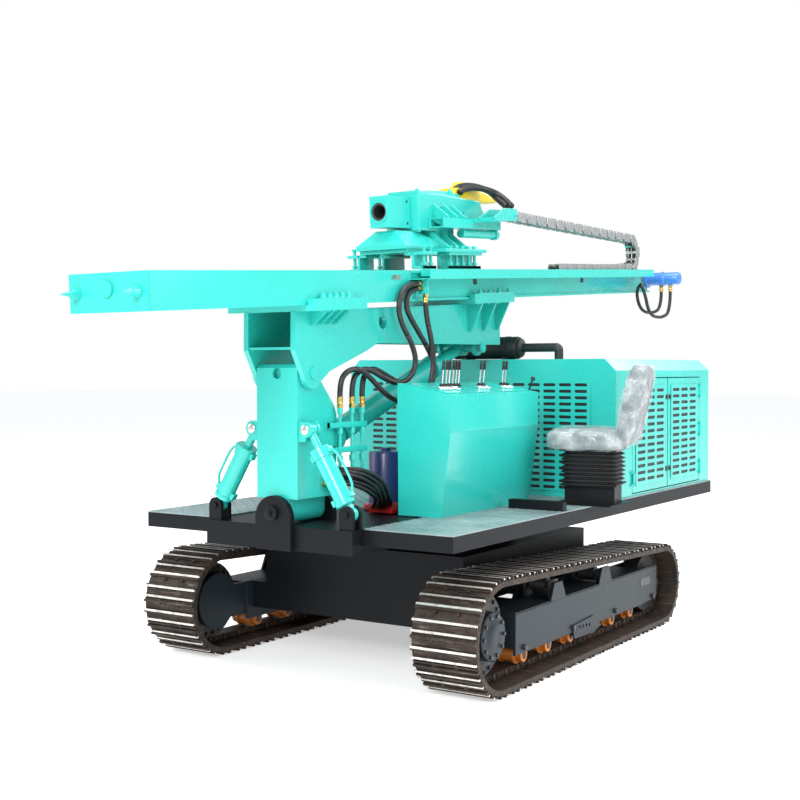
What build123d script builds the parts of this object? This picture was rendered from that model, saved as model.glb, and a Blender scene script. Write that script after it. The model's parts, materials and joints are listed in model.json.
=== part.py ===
"""Crawler pile driver rig: tracked carrier, tilting post, raising mast carrier, sliding mast and drive head.

Millimetres. The machine's own datum is the ground point between the tracks, half way along them. The front
is the side where the mast's foot is, towards -Y; the operator's console and seat are on the +X side.
The part's origin is at the bottom centre of its bounding box, so the datum stands at DATUM_X, DATUM_Y.
"""
import os
from math import atan2, ceil, cos, degrees, hypot, pi, radians, sin, tan

from build123d import *

os.makedirs("parts", exist_ok=True)

# ---------------------------------------------------------------- driving dimensions
DATUM_X = -105.0
DATUM_Y = -85.0

# tracks
GAUGE = 1710.0  # centre to centre of the two tracks
SHOE_W = 350.0
FRONT_R = 285.0  # outer radius over the shoes at the front drive wheel
REAR_R = 245.0  # outer radius over the shoes at the rear idler
TRACK_FRONT = -1290.0  # foremost point of the tracks
TRACK_REAR = 1290.0
SHOE_T = 26.0  # thickness of chain and shoe taken together, without grousers
GROUSER_H = 16.0
SHOE_COUNT = 44
BELT_T = 34.0  # chain band inside the shoes

# track frames
FRAME_OUT_X = 960.0  # outer face of a track frame's side plate
FRAME_IN_X = 750.0
FRAME_Z0 = 128.0
FRAME_TOP = 358.0
FRAME_FRONT = -770.0
FRAME_REAR = 1075.0
FRAME_PLATE = 20.0
YOKE_Y = 860.0  # behind this the side plates stand alone, as the idler's yoke
DRIVE_BRACKET_R = 150.0
WHEEL_W = 90.0  # drive wheel, idler and rollers across the chain
ROLLER_R = 48.0
ROLLER_COUNT = 6
CARRIER_R = 40.0
CARRIER_Y = (-290.0, 310.0)  # the two carrier rollers under the chain's top run
AXLE_R = 18.0
SEAT_GAP = 0.3  # between a piece and the seat that carries it

# cross frame under the platform
CROSS_FRONT = -720.0
CROSS_REAR = 720.0
CROSS_Z0 = 345.0
CROSS_Z1 = 600.0
CROSS_HALF_W = 640.0
LEG_W = 300.0  # the two legs that reach the track frames under the chains' top run
LEG_Z0 = 210.0

# platform
PLAT_HALF_W = 945.0
PLAT_FRONT = -1337.0
PLAT_REAR = 2095.0
PLAT_Z0 = 718.0
DECK_TOP = 800.0
DECK_T = 6.0
RAIL_W = 90.0  # width of the platform's outer rails
BEAM_HALF_W = 450.0  # front cross beam that carries the post
BEAM_Z0 = 677.0
BEAM_Z1 = DECK_TOP - DECK_T
BEAM_FRONT = -1426.0
BEAM_REAR = -1078.0

# post trunnion: a pin along the machine, low in the front
EAR_T = 30.0
EAR_R = 108.0
EAR_DROP = 25.0  # the ear's round top is centred this far under the pin
TILT_PIN_Z = 858.0
TILT_PIN_R = 32.0
TILT_LUG_R = 60.0

# post
POST_HALF_W = 125.0
POST_FRONT = -1421.0
POST_REAR = -1113.0
POST_Z0 = 925.0
POST_TOP = 1577.0
PLATE_T = 16.0
PIN_Y = -1335.0  # transverse pin on the post's top
PIN_Z = 1534.0
PIN_R = 30.0
GAP = 5.0  # clearance between pieces that move past each other
PIN_GAP = 0.5  # running fit at pins and rods

# carrier cheeks
CHEEK_IN = 130.0
CHEEK_T = 28.0
CARRIER_FRONT = -1480.0
CARRIER_REAR = 550.0

# mast
PITCH = 3.75  # the parked mast rises to the rear
MAST_BASE_Z = 1864.0  # height of the mast's underside above the transverse pin
MAST_HALF_W = 225.0
MAST_H = 165.0
MAST_FOOT = -1173.0  # along the mast from above the pin
MAST_END = 4130.0
MAST_PLATE = 12.0

# tilt cylinders
TILT_EYE = (165.0, 1262.0)  # x, z of the rod's eye on the post
TILT_BASE = (405.0, 868.0)  # x, z of the barrel's eye on the platform
TILT_Y = -1375.0
TILT_BARREL_R = 45.0
TILT_ROD_R = 20.0

# lift cylinder
LIFT_BASE = (-995.0, 1200.0)  # y, z on the post
LIFT_EYE = (330.0, 1683.0)  # y, z on the carrier
LIFT_BARREL_R = 62.0
LIFT_ROD_R = 35.0
LIFT_BOSS = 20.0  # bosses of the rod's pin inside the carrier's cheeks

# hood
HOOD_HALF_W = 930.0
HOOD_FRONT = 518.0
HOOD_REAR = 2085.0
HOOD_TOP = 1613.0
HOOD_BEVEL = 68.0
SHEET_T = 4.0
DOOR_GAP = 6.0

# console
CONSOLE_FRONT = -787.0
CONSOLE_REAR = 178.0

# seat
SEAT_X = 899.0
SEAT_Y = 281.0
SEAT_TURN = 12.0

pieces = {}


# ---------------------------------------------------------------- planes of the machine
def plan(z):
    """Level plane at height z; local x is +X, local y is +Y."""
    return Plane((DATUM_X, DATUM_Y, z))


def side(x):
    """Upright plane at x, facing +X; local x is +Y, local y is +Z."""
    return Plane((DATUM_X + x, DATUM_Y, 0), x_dir=(0, 1, 0), z_dir=(1, 0, 0))


def front(y):
    """Upright plane at y, facing the front; local x is +X, local y is +Z."""
    return Plane((DATUM_X, DATUM_Y + y, 0), x_dir=(1, 0, 0), z_dir=(0, -1, 0))


def point(x, y, z):
    return Vector(DATUM_X + x, DATUM_Y + y, z)


def along(start, end):
    """Plane at start whose normal points at end; both are points of the machine."""
    a, b = point(*start), point(*end)
    return Plane(a, x_dir=(1, 0, 0) if abs((b - a).X) < 1e-6 else (0, 1, 0), z_dir=b - a)


RISE = radians(PITCH)
MAST_ALONG = Vector(0, cos(RISE), sin(RISE))
MAST_UP = Vector(0, -sin(RISE), cos(RISE))
MAST_ORIGIN = point(0, PIN_Y, MAST_BASE_Z)


def mast_plan(h):
    """Plane parallel to the mast's underside, h above it; local y runs along the mast to the rear."""
    return Plane(MAST_ORIGIN + MAST_UP * h, x_dir=(1, 0, 0), z_dir=MAST_UP)


def mast_cut(s):
    """Plane across the mast at s, facing its foot; local x is +X, local y is up from the underside."""
    return Plane(MAST_ORIGIN + MAST_ALONG * s, x_dir=(1, 0, 0), z_dir=MAST_ALONG * -1)


def mast_side(x):
    """Plane along the mast at x, facing +X; local x runs along the mast, local y up from its underside."""
    return Plane(MAST_ORIGIN + Vector(x, 0, 0), x_dir=MAST_ALONG, z_dir=(1, 0, 0))


def finish(name, piece):
    pieces[name] = piece


# ---------------------------------------------------------------- tracks
front_c = (TRACK_FRONT + FRONT_R, FRONT_R)
rear_c = (TRACK_REAR - REAR_R, REAR_R)


def belt(inset):
    """Outline of the track loop, inset from its outermost line: two wheels and their tangents."""
    big, small = FRONT_R - inset, REAR_R - inset
    run = rear_c[0] - front_c[0]
    drop = asin_deg((FRONT_R - REAR_R) / hypot(run, FRONT_R - REAR_R))
    lean = radians(90 - 2 * drop)
    top_f = (front_c[0] + big * cos(lean), front_c[1] + big * sin(lean))
    top_r = (rear_c[0] + small * cos(lean), rear_c[1] + small * sin(lean))
    bot_f = (front_c[0], front_c[1] - big)
    bot_r = (rear_c[0], rear_c[1] - small)
    return top_f, top_r, bot_f, bot_r, big, small


def asin_deg(value):
    return degrees(atan2(value, (1 - value * value) ** 0.5))


def belt_line(inset):
    """Closed wire of the loop, to be drawn inside a BuildLine block."""
    top_f, top_r, bot_f, bot_r, big, small = belt(inset)
    Line(bot_f, bot_r)
    ThreePointArc(bot_r, (rear_c[0] + small, rear_c[1]), top_r)
    Line(top_r, top_f)
    ThreePointArc(top_f, (front_c[0] - big, front_c[1]), bot_f)


with BuildLine(Plane.XY) as shoe_path:
    belt_line(GROUSER_H + SHOE_T)

for hand, track_x in (("right", GAUGE / 2), ("left", -GAUGE / 2)):
    with BuildPart() as track:
        with BuildSketch(side(track_x - SHOE_W / 2)):
            with BuildLine():
                belt_line(GROUSER_H)
            make_face()
            with BuildLine():
                belt_line(GROUSER_H + SHOE_T)
            make_face(mode=Mode.SUBTRACT)
            shoe_wire = shoe_path.wires()[0]
            for k in range(SHOE_COUNT):
                for grouser in (0.2, 0.8):
                    t = (k + grouser) / SHOE_COUNT
                    at = shoe_wire @ t
                    tangent = shoe_wire % t
                    turn = degrees(atan2(tangent.Y, tangent.X))
                    with Locations(Location((at.X, at.Y, 0), (0, 0, turn))):
                        with Locations((0, -(SHOE_T + GROUSER_H) / 2)):
                            Rectangle(12, SHOE_T + GROUSER_H - 0.2)
        extrude(amount=SHOE_W)
        with BuildSketch(side(track_x - WHEEL_W / 2)):
            with BuildLine():
                belt_line(GROUSER_H + SHOE_T)
            make_face()
            with BuildLine():
                belt_line(GROUSER_H + SHOE_T + BELT_T)
            make_face(mode=Mode.SUBTRACT)
        extrude(amount=WHEEL_W)
    finish("track_" + hand, track)

# ---------------------------------------------------------------- track frames, wheels and rollers
chain_in = GROUSER_H + SHOE_T + BELT_T + SEAT_GAP  # from the outermost line to a wheel's rim
roller_z = chain_in + ROLLER_R
frame_z1 = roller_z + ROLLER_R + 8  # underside of the frame's box, over the rollers
hub_half = GAUGE / 2 - FRAME_IN_X - FRAME_PLATE - SEAT_GAP


def top_run_z(y):
    """Height of the chain band's inner face on the top run."""
    top_f, top_r, *_ = belt(chain_in)
    share = (y - top_f[0]) / (top_r[0] - top_f[0])
    return top_f[1] + share * (top_r[1] - top_f[1])


for hand, sign in (("right", 1), ("left", -1)):
    x_mid = sign * GAUGE / 2
    x_out, x_in = sign * FRAME_OUT_X, sign * FRAME_IN_X
    low_x, high_x = min(x_out, x_in), max(x_out, x_in)
    with BuildPart() as track_frame:
        with BuildSketch(side(low_x)):
            with BuildLine():
                Polyline(
                    (FRAME_FRONT, frame_z1), (FRAME_FRONT, FRAME_TOP), (FRAME_REAR, FRAME_TOP),
                    (FRAME_REAR, frame_z1), close=True,
                )
            make_face()
        extrude(amount=high_x - low_x)
        with BuildSketch(side(low_x + FRAME_PLATE)):
            with Locations(((YOKE_Y + FRAME_REAR + 1) / 2, (FRAME_TOP + frame_z1) / 2)):
                Rectangle(FRAME_REAR + 1 - YOKE_Y, FRAME_TOP - frame_z1 + 2)
        extrude(amount=high_x - low_x - 2 * FRAME_PLATE, mode=Mode.SUBTRACT)
        # bracket of the drive wheel on the frame's inner side
        with BuildSketch(side(min(x_in, x_in + sign * FRAME_PLATE))):
            with Locations(front_c):
                Circle(DRIVE_BRACKET_R)
            with Locations(((front_c[0] + FRAME_FRONT) / 2, (FRAME_TOP + frame_z1) / 2)):
                Rectangle(FRAME_FRONT - front_c[0], FRAME_TOP - frame_z1)
        extrude(amount=FRAME_PLATE)
    finish("track_frame_" + hand, track_frame)

    with BuildPart() as drive_wheel:
        with BuildSketch(side(x_mid - WHEEL_W / 2)):
            with Locations(front_c):
                Circle(FRONT_R - chain_in)
        extrude(amount=WHEEL_W)
        with BuildSketch(side(x_mid - hub_half)):
            with Locations(front_c):
                Circle(120)
        extrude(amount=2 * hub_half)
    finish("drive_wheel_" + hand, drive_wheel)

    with BuildPart() as idler:
        with BuildSketch(side(x_mid - WHEEL_W / 2)):
            with Locations(rear_c):
                Circle(REAR_R - chain_in)
        extrude(amount=WHEEL_W)
        with BuildSketch(side(x_mid - hub_half)):
            with Locations(rear_c):
                Circle(2 * AXLE_R)
        extrude(amount=2 * hub_half)
    finish("idler_" + hand, idler)

    pitch = (YOKE_Y - FRAME_FRONT) / ROLLER_COUNT
    with BuildPart() as rollers:
        for k in range(ROLLER_COUNT):
            y = FRAME_FRONT + (k + 0.5) * pitch
            with BuildSketch(side(x_mid - WHEEL_W / 2)):
                with Locations((y, roller_z)):
                    Circle(ROLLER_R)
            extrude(amount=WHEEL_W)
            with BuildSketch(side(x_mid - hub_half)):
                with Locations((y, roller_z)):
                    Circle(AXLE_R)
            extrude(amount=2 * hub_half)
            for x0 in (x_mid - hub_half, x_mid + hub_half - 22):
                with BuildSketch(side(x0)):
                    with Locations((y, (roller_z - 25 + frame_z1 - SEAT_GAP) / 2)):
                        Rectangle(70, frame_z1 - SEAT_GAP - roller_z + 25)
                extrude(amount=22)
    finish("rollers_" + hand, rollers)

    with BuildPart() as carrier_rollers:
        for y in CARRIER_Y:
            z = top_run_z(y) - CARRIER_R
            with BuildSketch(side(x_mid - WHEEL_W / 2)):
                with Locations((y, z)):
                    Circle(CARRIER_R)
            extrude(amount=WHEEL_W)
            with BuildSketch(side(x_mid - hub_half)):
                with Locations((y, z)):
                    Circle(AXLE_R)
            extrude(amount=2 * hub_half)
            for x0 in (x_mid - hub_half, x_mid + hub_half - 22):
                with BuildSketch(side(x0)):
                    with Locations((y, (z + 30 + FRAME_TOP + SEAT_GAP) / 2)):
                        Rectangle(70, z + 30 - FRAME_TOP - SEAT_GAP)
                extrude(amount=22)
    finish("carrier_rollers_" + hand, carrier_rollers)

with BuildPart() as cross_frame:
    with BuildSketch(plan(CROSS_Z0)):
        with Locations((0, (CROSS_FRONT + CROSS_REAR) / 2)):
            Rectangle(2 * CROSS_HALF_W, CROSS_REAR - CROSS_FRONT)
    extrude(amount=CROSS_Z1 - CROSS_Z0)
    with BuildSketch(plan(LEG_Z0)):
        for y in (CROSS_FRONT + LEG_W / 2, CROSS_REAR - LEG_W / 2):
            with Locations((0, y)):
                Rectangle(2 * FRAME_IN_X, LEG_W)
    extrude(amount=FRAME_TOP - LEG_Z0)
    with BuildSketch(plan(CROSS_Z1)):
        Circle(480)
    extrude(amount=PLAT_Z0 - CROSS_Z1)
finish("cross_frame", cross_frame)

# ---------------------------------------------------------------- platform
with BuildPart() as platform_frame:
    with BuildSketch(plan(PLAT_Z0)):
        with Locations((0, (PLAT_FRONT + PLAT_REAR) / 2)):
            Rectangle(2 * PLAT_HALF_W, PLAT_REAR - PLAT_FRONT)
        for x0, x1, y0, y1 in (
            (-PLAT_HALF_W + RAIL_W, -BEAM_HALF_W, PLAT_FRONT + RAIL_W, -100),
            (BEAM_HALF_W, PLAT_HALF_W - RAIL_W, PLAT_FRONT + RAIL_W, -100),
            (-PLAT_HALF_W + RAIL_W, PLAT_HALF_W - RAIL_W, 700, PLAT_REAR - RAIL_W),
        ):
            with Locations(((x0 + x1) / 2, (y0 + y1) / 2)):
                Rectangle(x1 - x0, y1 - y0, mode=Mode.SUBTRACT)
    extrude(amount=DECK_TOP - DECK_T - PLAT_Z0)
    with BuildSketch(plan(BEAM_Z0)):
        with Locations((0, (BEAM_FRONT + BEAM_REAR) / 2)):
            Rectangle(2 * BEAM_HALF_W, BEAM_REAR - BEAM_FRONT)
    extrude(amount=BEAM_Z1 - BEAM_Z0)
finish("platform_frame", platform_frame)

with BuildPart() as deck:
    with BuildSketch(plan(DECK_TOP - DECK_T)):
        with Locations((0, (PLAT_FRONT + PLAT_REAR) / 2)):
            Rectangle(2 * PLAT_HALF_W, PLAT_REAR - PLAT_FRONT)
        with Locations((0, (PLAT_FRONT - 600) / 2)):
            Rectangle(2 * BEAM_HALF_W + 20, -PLAT_FRONT - 600 + 10, mode=Mode.SUBTRACT)
    extrude(amount=DECK_T)
finish("deck", deck)

# ears of the post's tilt pin
EAR_FRONT = POST_FRONT - GAP - EAR_T
EAR_REAR = POST_REAR + GAP + EAR_T
with BuildPart() as trunnion:
    for y in (EAR_FRONT, POST_REAR + GAP):
        with BuildSketch(front(y)):
            with BuildLine():
                ear_z = TILT_PIN_Z - EAR_DROP
                Line((-EAR_R, BEAM_Z1), (EAR_R, BEAM_Z1))
                Line((EAR_R, BEAM_Z1), (EAR_R, ear_z))
                ThreePointArc((EAR_R, ear_z), (0, ear_z + EAR_R), (-EAR_R, ear_z))
                Line((-EAR_R, ear_z), (-EAR_R, BEAM_Z1))
            make_face()
        extrude(amount=-EAR_T)
    with BuildSketch(front(EAR_FRONT)):
        with Locations((0, (BEAM_Z0 + BEAM_Z1) / 2)):
            Rectangle(2 * EAR_R, BEAM_Z1 - BEAM_Z0)
    extrude(amount=-EAR_T)
    with BuildSketch(front(EAR_FRONT - 12)):
        with Locations((0, TILT_PIN_Z)):
            Circle(TILT_PIN_R)
    extrude(amount=-(EAR_REAR - EAR_FRONT + 24))
finish("trunnion", trunnion)

# ---------------------------------------------------------------- post
with BuildPart() as post:
    with BuildSketch(side(-POST_HALF_W)) as post_side:
        with BuildLine():
            Line((POST_FRONT, POST_Z0), (POST_FRONT, POST_TOP - 17))
            Line((POST_FRONT, POST_TOP - 17), (POST_FRONT + 17, POST_TOP))
            Line((POST_FRONT + 17, POST_TOP), (PIN_Y + 30, POST_TOP))
            Line((PIN_Y + 30, POST_TOP), (POST_REAR - 25, 1392))
            ThreePointArc((POST_REAR - 25, 1392), (POST_REAR + 10, 1330), (POST_REAR + 18, 1262))
            Line((POST_REAR + 18, 1262), (POST_REAR, POST_Z0))
            Line((POST_REAR, POST_Z0), (POST_FRONT, POST_Z0))
        make_face()
    extrude(amount=2 * POST_HALF_W)
    with BuildSketch(side(-POST_HALF_W + PLATE_T)):
        with BuildLine():
            Polyline(
                (POST_FRONT + PLATE_T, POST_Z0 + PLATE_T), (POST_FRONT + PLATE_T, PIN_Z + PIN_R - 4),
                (PIN_Y - 60, PIN_Z + PIN_R - 4), (PIN_Y - 60, 1440), (POST_REAR - 60, 1380),
                (POST_REAR - PLATE_T, 1240), (POST_REAR - PLATE_T, POST_Z0 + PLATE_T), close=True,
            )
        make_face()
    extrude(amount=2 * (POST_HALF_W - PLATE_T), mode=Mode.SUBTRACT)
    with BuildSketch(front(POST_FRONT)):
        with Locations((0, PIN_Z)):
            Circle(27)
    extrude(amount=-PLATE_T - 1, mode=Mode.SUBTRACT)
    # lug on the tilt pin
    with BuildSketch(front(POST_FRONT)):
        with Locations((0, TILT_PIN_Z)):
            Circle(TILT_LUG_R)
        with Locations((0, (TILT_PIN_Z + POST_Z0 + 8) / 2)):
            Rectangle(2 * TILT_LUG_R, POST_Z0 + 8 - TILT_PIN_Z)
    extrude(amount=POST_FRONT - POST_REAR)
    with BuildSketch(front(POST_FRONT - 1)):
        with Locations((0, TILT_PIN_Z)):
            Circle(TILT_PIN_R + PIN_GAP)
    extrude(amount=POST_FRONT - POST_REAR - 2, mode=Mode.SUBTRACT)
    # bore of the transverse pin
    with BuildSketch(side(-POST_HALF_W - 1)):
        with Locations((PIN_Y, PIN_Z)):
            Circle(PIN_R + PIN_GAP)
    extrude(amount=2 * POST_HALF_W + 2, mode=Mode.SUBTRACT)
    # pairs of lugs for the tilt cylinders' rod eyes
    for sign in (1, -1):
        for lug_y in (TILT_Y - 21 - 16, TILT_Y + 21):
            with BuildSketch(front(lug_y)):
                with Locations((sign * TILT_EYE[0], TILT_EYE[1])):
                    Circle(38)
                with Locations((sign * (POST_HALF_W + TILT_EYE[0]) / 2, TILT_EYE[1] - 10)):
                    Rectangle(TILT_EYE[0] - POST_HALF_W, 96)
            extrude(amount=-16)
        for head_y in (TILT_Y - 45, TILT_Y + 37):
            with BuildSketch(front(head_y)):
                with Locations((sign * TILT_EYE[0], TILT_EYE[1])):
                    Circle(22)
            extrude(amount=-8)
    # clevis of the lift cylinder, behind the post
    for lug_x in (-70, 48):
        with BuildSketch(side(lug_x)):
            with Locations(LIFT_BASE):
                Circle(52)
            with Locations(((LIFT_BASE[0] + POST_REAR) / 2, LIFT_BASE[1])):
                Rectangle(LIFT_BASE[0] - POST_REAR, 104)
        extrude(amount=22)
    with BuildSketch(side(-80)):
        with Locations(LIFT_BASE):
            Circle(25)
    extrude(amount=160)
finish("post", post)


# ---------------------------------------------------------------- hydraulic cylinders
def unit(a, b):
    return (b - a).normalized()


def make_cylinder(name, base, eye, pin_dir, barrel_r, rod_r, eye_r, eye_w, pin_r, pin_l, head, neck):
    """Barrel from its bored base eye, with a gland, and a rod whose eye carries its own pin across pin_dir."""
    length = (eye - base).length
    direction = unit(base, eye)
    axis = Plane(base, x_dir=pin_dir, z_dir=direction)
    barrel_end = length - head
    with BuildPart() as barrel:
        with BuildSketch(axis.offset(neck)):
            Circle(barrel_r)
        extrude(amount=barrel_end - neck)
        with BuildSketch(axis):
            Rectangle(eye_w, 1.5 * eye_r)
        extrude(amount=neck)
        with BuildSketch(axis.offset(barrel_end - 45)):
            Circle(barrel_r + 6)
        extrude(amount=45)
        with BuildSketch(Plane(base - pin_dir * (eye_w / 2), x_dir=direction, z_dir=pin_dir)):
            Circle(eye_r)
        extrude(amount=eye_w)
        with BuildSketch(axis.offset(neck + 20)):
            Circle(rod_r + PIN_GAP)
        extrude(amount=length, mode=Mode.SUBTRACT)
        with BuildSketch(Plane(base - pin_dir * eye_w, x_dir=direction, z_dir=pin_dir)):
            Circle(pin_r + PIN_GAP)
        extrude(amount=2 * eye_w, mode=Mode.SUBTRACT)
    finish(name + "_barrel", barrel)
    with BuildPart() as rod:
        with BuildSketch(axis.offset(neck + 90)):
            Circle(rod_r)
        extrude(amount=length - eye_r * 0.6 - neck - 90)
        with BuildSketch(Plane(eye - pin_dir * (eye_w / 2), x_dir=direction, z_dir=pin_dir)):
            Circle(eye_r)
        extrude(amount=eye_w)
        with BuildSketch(Plane(eye - pin_dir * (pin_l / 2), x_dir=direction, z_dir=pin_dir)):
            Circle(pin_r)
        extrude(amount=pin_l)
    finish(name + "_rod", rod)


for hand, sign in (("right", 1), ("left", -1)):
    make_cylinder(
        "tilt_" + hand, point(sign * TILT_BASE[0], TILT_Y, TILT_BASE[1]),
        point(sign * TILT_EYE[0], TILT_Y, TILT_EYE[1]), Vector(0, 1, 0),
        TILT_BARREL_R, TILT_ROD_R, 33, 36, 15, 42 - 2 * SEAT_GAP, 110, 46,
    )
    with BuildPart() as clevis:
        for y in (TILT_Y - 21 - 18, TILT_Y + 21):
            with BuildSketch(front(y)):
                with Locations((sign * TILT_BASE[0], TILT_BASE[1])):
                    Circle(40)
                with Locations((sign * TILT_BASE[0], (TILT_BASE[1] + BEAM_Z1) / 2)):
                    Rectangle(80, TILT_BASE[1] - BEAM_Z1)
            extrude(amount=-18)
        with BuildSketch(front(TILT_Y - 50)):
            with Locations((sign * TILT_BASE[0], TILT_BASE[1])):
                Circle(15)
        extrude(amount=-100)
    finish("clevis_" + hand, clevis)

make_cylinder(
    "lift", point(0, *LIFT_BASE), point(0, *LIFT_EYE), Vector(1, 0, 0),
    LIFT_BARREL_R, LIFT_ROD_R, 48, 80, 25, 2 * (CHEEK_IN - LIFT_BOSS - SEAT_GAP), 330, 80,
)


# ---------------------------------------------------------------- carrier
def to_mast(y, z):
    """Station along the mast and height above its underside of a point in the machine's side view."""
    dy, dz = y - PIN_Y, z - MAST_BASE_Z
    return (dy * cos(RISE) + dz * sin(RISE), -dy * sin(RISE) + dz * cos(RISE))


SEAT_DROP = 28.0  # the carrier's top plate lies this far under the mast
CLAMP_OUT = 262.0
with BuildPart() as carrier:
    for x in (-CHEEK_IN - CHEEK_T, CHEEK_IN):
        with BuildSketch(side(x)):
            with BuildLine():
                front_top = MAST_ORIGIN + MAST_ALONG * (CARRIER_FRONT - PIN_Y) - MAST_UP * SEAT_DROP
                rear_top = MAST_ORIGIN + MAST_ALONG * (CARRIER_REAR - PIN_Y) - MAST_UP * SEAT_DROP
                p_front = (front_top.Y - DATUM_Y, front_top.Z)
                p_rear = (rear_top.Y - DATUM_Y, rear_top.Z)
                Line(p_front, (CARRIER_FRONT, 1644))
                Line((CARRIER_FRONT, 1644), (PIN_Y - 76, PIN_Z - 10))
                ThreePointArc((PIN_Y - 76, PIN_Z - 10), (PIN_Y - 6, PIN_Z - 76), (PIN_Y + 60, PIN_Z - 40))
                Line((PIN_Y + 60, PIN_Z - 40), (-1201, 1544))
                Line((-1201, 1544), (-871, 1652))
                Line((-871, 1652), (-779, 1690))
                Line((-779, 1690), (CARRIER_REAR, 1702))
                Line((CARRIER_REAR, 1702), p_rear)
                Line(p_rear, p_front)
            make_face()
            with Locations((-732, 1801)):
                Circle(36, mode=Mode.SUBTRACT)
        extrude(amount=CHEEK_T)
    # top plates under the mast at both clamps
    for s0, s1 in ((-140.0, 310.0), (1400.0, 1880.0)):
        with BuildSketch(mast_cut(s0)):
            with Locations((0, -(SEAT_DROP + SEAT_GAP) / 2)):
                Rectangle(2 * CLAMP_OUT, SEAT_DROP - SEAT_GAP)
            for sign in (1, -1):
                with Locations((sign * (CLAMP_OUT - 16), 12)):
                    Rectangle(32, 34)
                with Locations((sign * (CLAMP_OUT - 28), 22)):
                    Rectangle(56, 12)
        extrude(amount=s0 - s1)
    # web between the cheeks over the post, and rear cross pieces
    with BuildSketch(plan(1647)):
        with Locations((0, (CARRIER_FRONT + 5 - 1130) / 2)):
            Rectangle(2 * CHEEK_IN, -1130 - CARRIER_FRONT - 5)
    extrude(amount=12)
    with BuildSketch(front(500)):
        with Locations((0, 1790)):
            Rectangle(2 * CHEEK_IN, 150)
    extrude(amount=-14)
    # transverse pin through both cheeks
    with BuildSketch(side(-CHEEK_IN - CHEEK_T - 8)):
        with Locations((PIN_Y, PIN_Z)):
            Circle(PIN_R)
    extrude(amount=2 * (CHEEK_IN + CHEEK_T + 8))
    # bosses and pin heads of the lift cylinder's rod
    for x, size, depth in (
        (-CHEEK_IN, 48, LIFT_BOSS), (CHEEK_IN - LIFT_BOSS, 48, LIFT_BOSS),
        (-CHEEK_IN - CHEEK_T - 8, 32, 8), (CHEEK_IN + CHEEK_T, 32, 8),
    ):
        with BuildSketch(side(x)):
            with Locations(LIFT_EYE):
                Circle(size)
        extrude(amount=depth)
finish("carrier", carrier)

# ---------------------------------------------------------------- mast
RAIL_X = 150.0
with BuildPart() as mast:
    with BuildSketch(mast_cut(MAST_FOOT)):
        with Locations((0, MAST_H / 2)):
            Rectangle(2 * MAST_HALF_W - 44, MAST_H)
            Rectangle(2 * MAST_HALF_W - 44 - 2 * MAST_PLATE, MAST_H - 2 * MAST_PLATE, mode=Mode.SUBTRACT)
        for h in (MAST_PLATE / 2, MAST_H - MAST_PLATE / 2):
            with Locations((0, h)):
                Rectangle(2 * MAST_HALF_W, MAST_PLATE)
    extrude(amount=MAST_FOOT - MAST_END)
    for sign in (1, -1):
        with BuildSketch(mast_cut(MAST_FOOT + 40)):
            with Locations((sign * RAIL_X, MAST_H + 5)):
                Rectangle(30, 10)
            with Locations((sign * RAIL_X, MAST_H + 17)):
                Rectangle(50, 14)
        extrude(amount=MAST_FOOT + 80 - MAST_END)
finish("mast", mast)

with BuildPart() as mast_foot:
    with BuildSketch(mast_cut(MAST_FOOT)):
        with Locations((0, MAST_H / 2)):
            Rectangle(2 * MAST_HALF_W, MAST_H)
    extrude(amount=16)
    for x in (-175, 175):
        with BuildSketch(mast_cut(MAST_FOOT - 16)):
            with Locations((x, MAST_H / 2)):
                Circle(26)
        extrude(amount=40, taper=12)
        with BuildSketch(mast_cut(MAST_FOOT - 56)):
            with Locations((x, MAST_H / 2)):
                Circle(14)
        extrude(amount=50, taper=12)
    with BuildSketch(mast_cut(MAST_FOOT - 16)):
        with Locations((0, MAST_H / 2 + 15)):
            Circle(35)
    extrude(amount=12)
finish("mast_foot", mast_foot)

TRAY_IN = MAST_HALF_W - 22
TRAY_OUT = 352.0
TRAY_H0 = 113.0
TRAY_S0 = 777.0
TRAY_S1 = 3900.0
with BuildPart() as tray:
    with BuildSketch(mast_cut(TRAY_S0)):
        with Locations(((TRAY_IN + TRAY_OUT) / 2, TRAY_H0 + 2.5)):
            Rectangle(TRAY_OUT - TRAY_IN, 5)
        with Locations((TRAY_OUT - 2.5, (TRAY_H0 + MAST_H) / 2)):
            Rectangle(5, MAST_H - TRAY_H0)
    extrude(amount=TRAY_S0 - TRAY_S1)
finish("tray", tray)

# ---------------------------------------------------------------- drive head on the mast
HEAD_S0 = 565.0
HEAD_S1 = 1650.0
with BuildPart() as head_carriage:
    for s0, s1 in ((HEAD_S0, HEAD_S0 + 360), (HEAD_S1 - 560, HEAD_S1)):
        for sign in (1, -1):
            with BuildSketch(mast_cut(s0)):
                with Locations((sign * RAIL_X, MAST_H + 24 + 4 + 17)):
                    Rectangle(110, 34)
                for edge in (-1, 1):
                    with Locations((sign * RAIL_X + edge * 43, MAST_H + 21)):
                        Rectangle(24, 30)
                    with Locations((sign * RAIL_X + edge * 37, MAST_H + 6 + 0.5)):
                        Rectangle(36, 5)
            extrude(amount=s0 - s1)
    with BuildSketch(mast_plan(MAST_H + 62)):
        with Locations((0, (HEAD_S0 + HEAD_S1) / 2)):
            Rectangle(410, HEAD_S1 - HEAD_S0)
    extrude(amount=20)
finish("head_carriage", head_carriage)

BORE_H = 490.0
BORE_R = 38.0
with BuildPart() as gearbox:
    with BuildSketch(mast_plan(MAST_H + 82)):
        with Locations((0, 1000)):
            Rectangle(300, 620)
    extrude(amount=150)
    with BuildSketch(mast_cut(835)):
        with Locations((0, BORE_H)):
            Rectangle(115, 165)
            Circle(BORE_R + 12, mode=Mode.SUBTRACT)
    extrude(amount=-260)
    with BuildSketch(mast_plan(MAST_H + 230)):
        with Locations((0, 1180)):
            Circle(150)
    extrude(amount=210)
    with BuildSketch(mast_cut(1180)):
        with Locations((50, 510)):
            Rectangle(230, 190)
    extrude(amount=-160)
finish("gearbox", gearbox)

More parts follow.
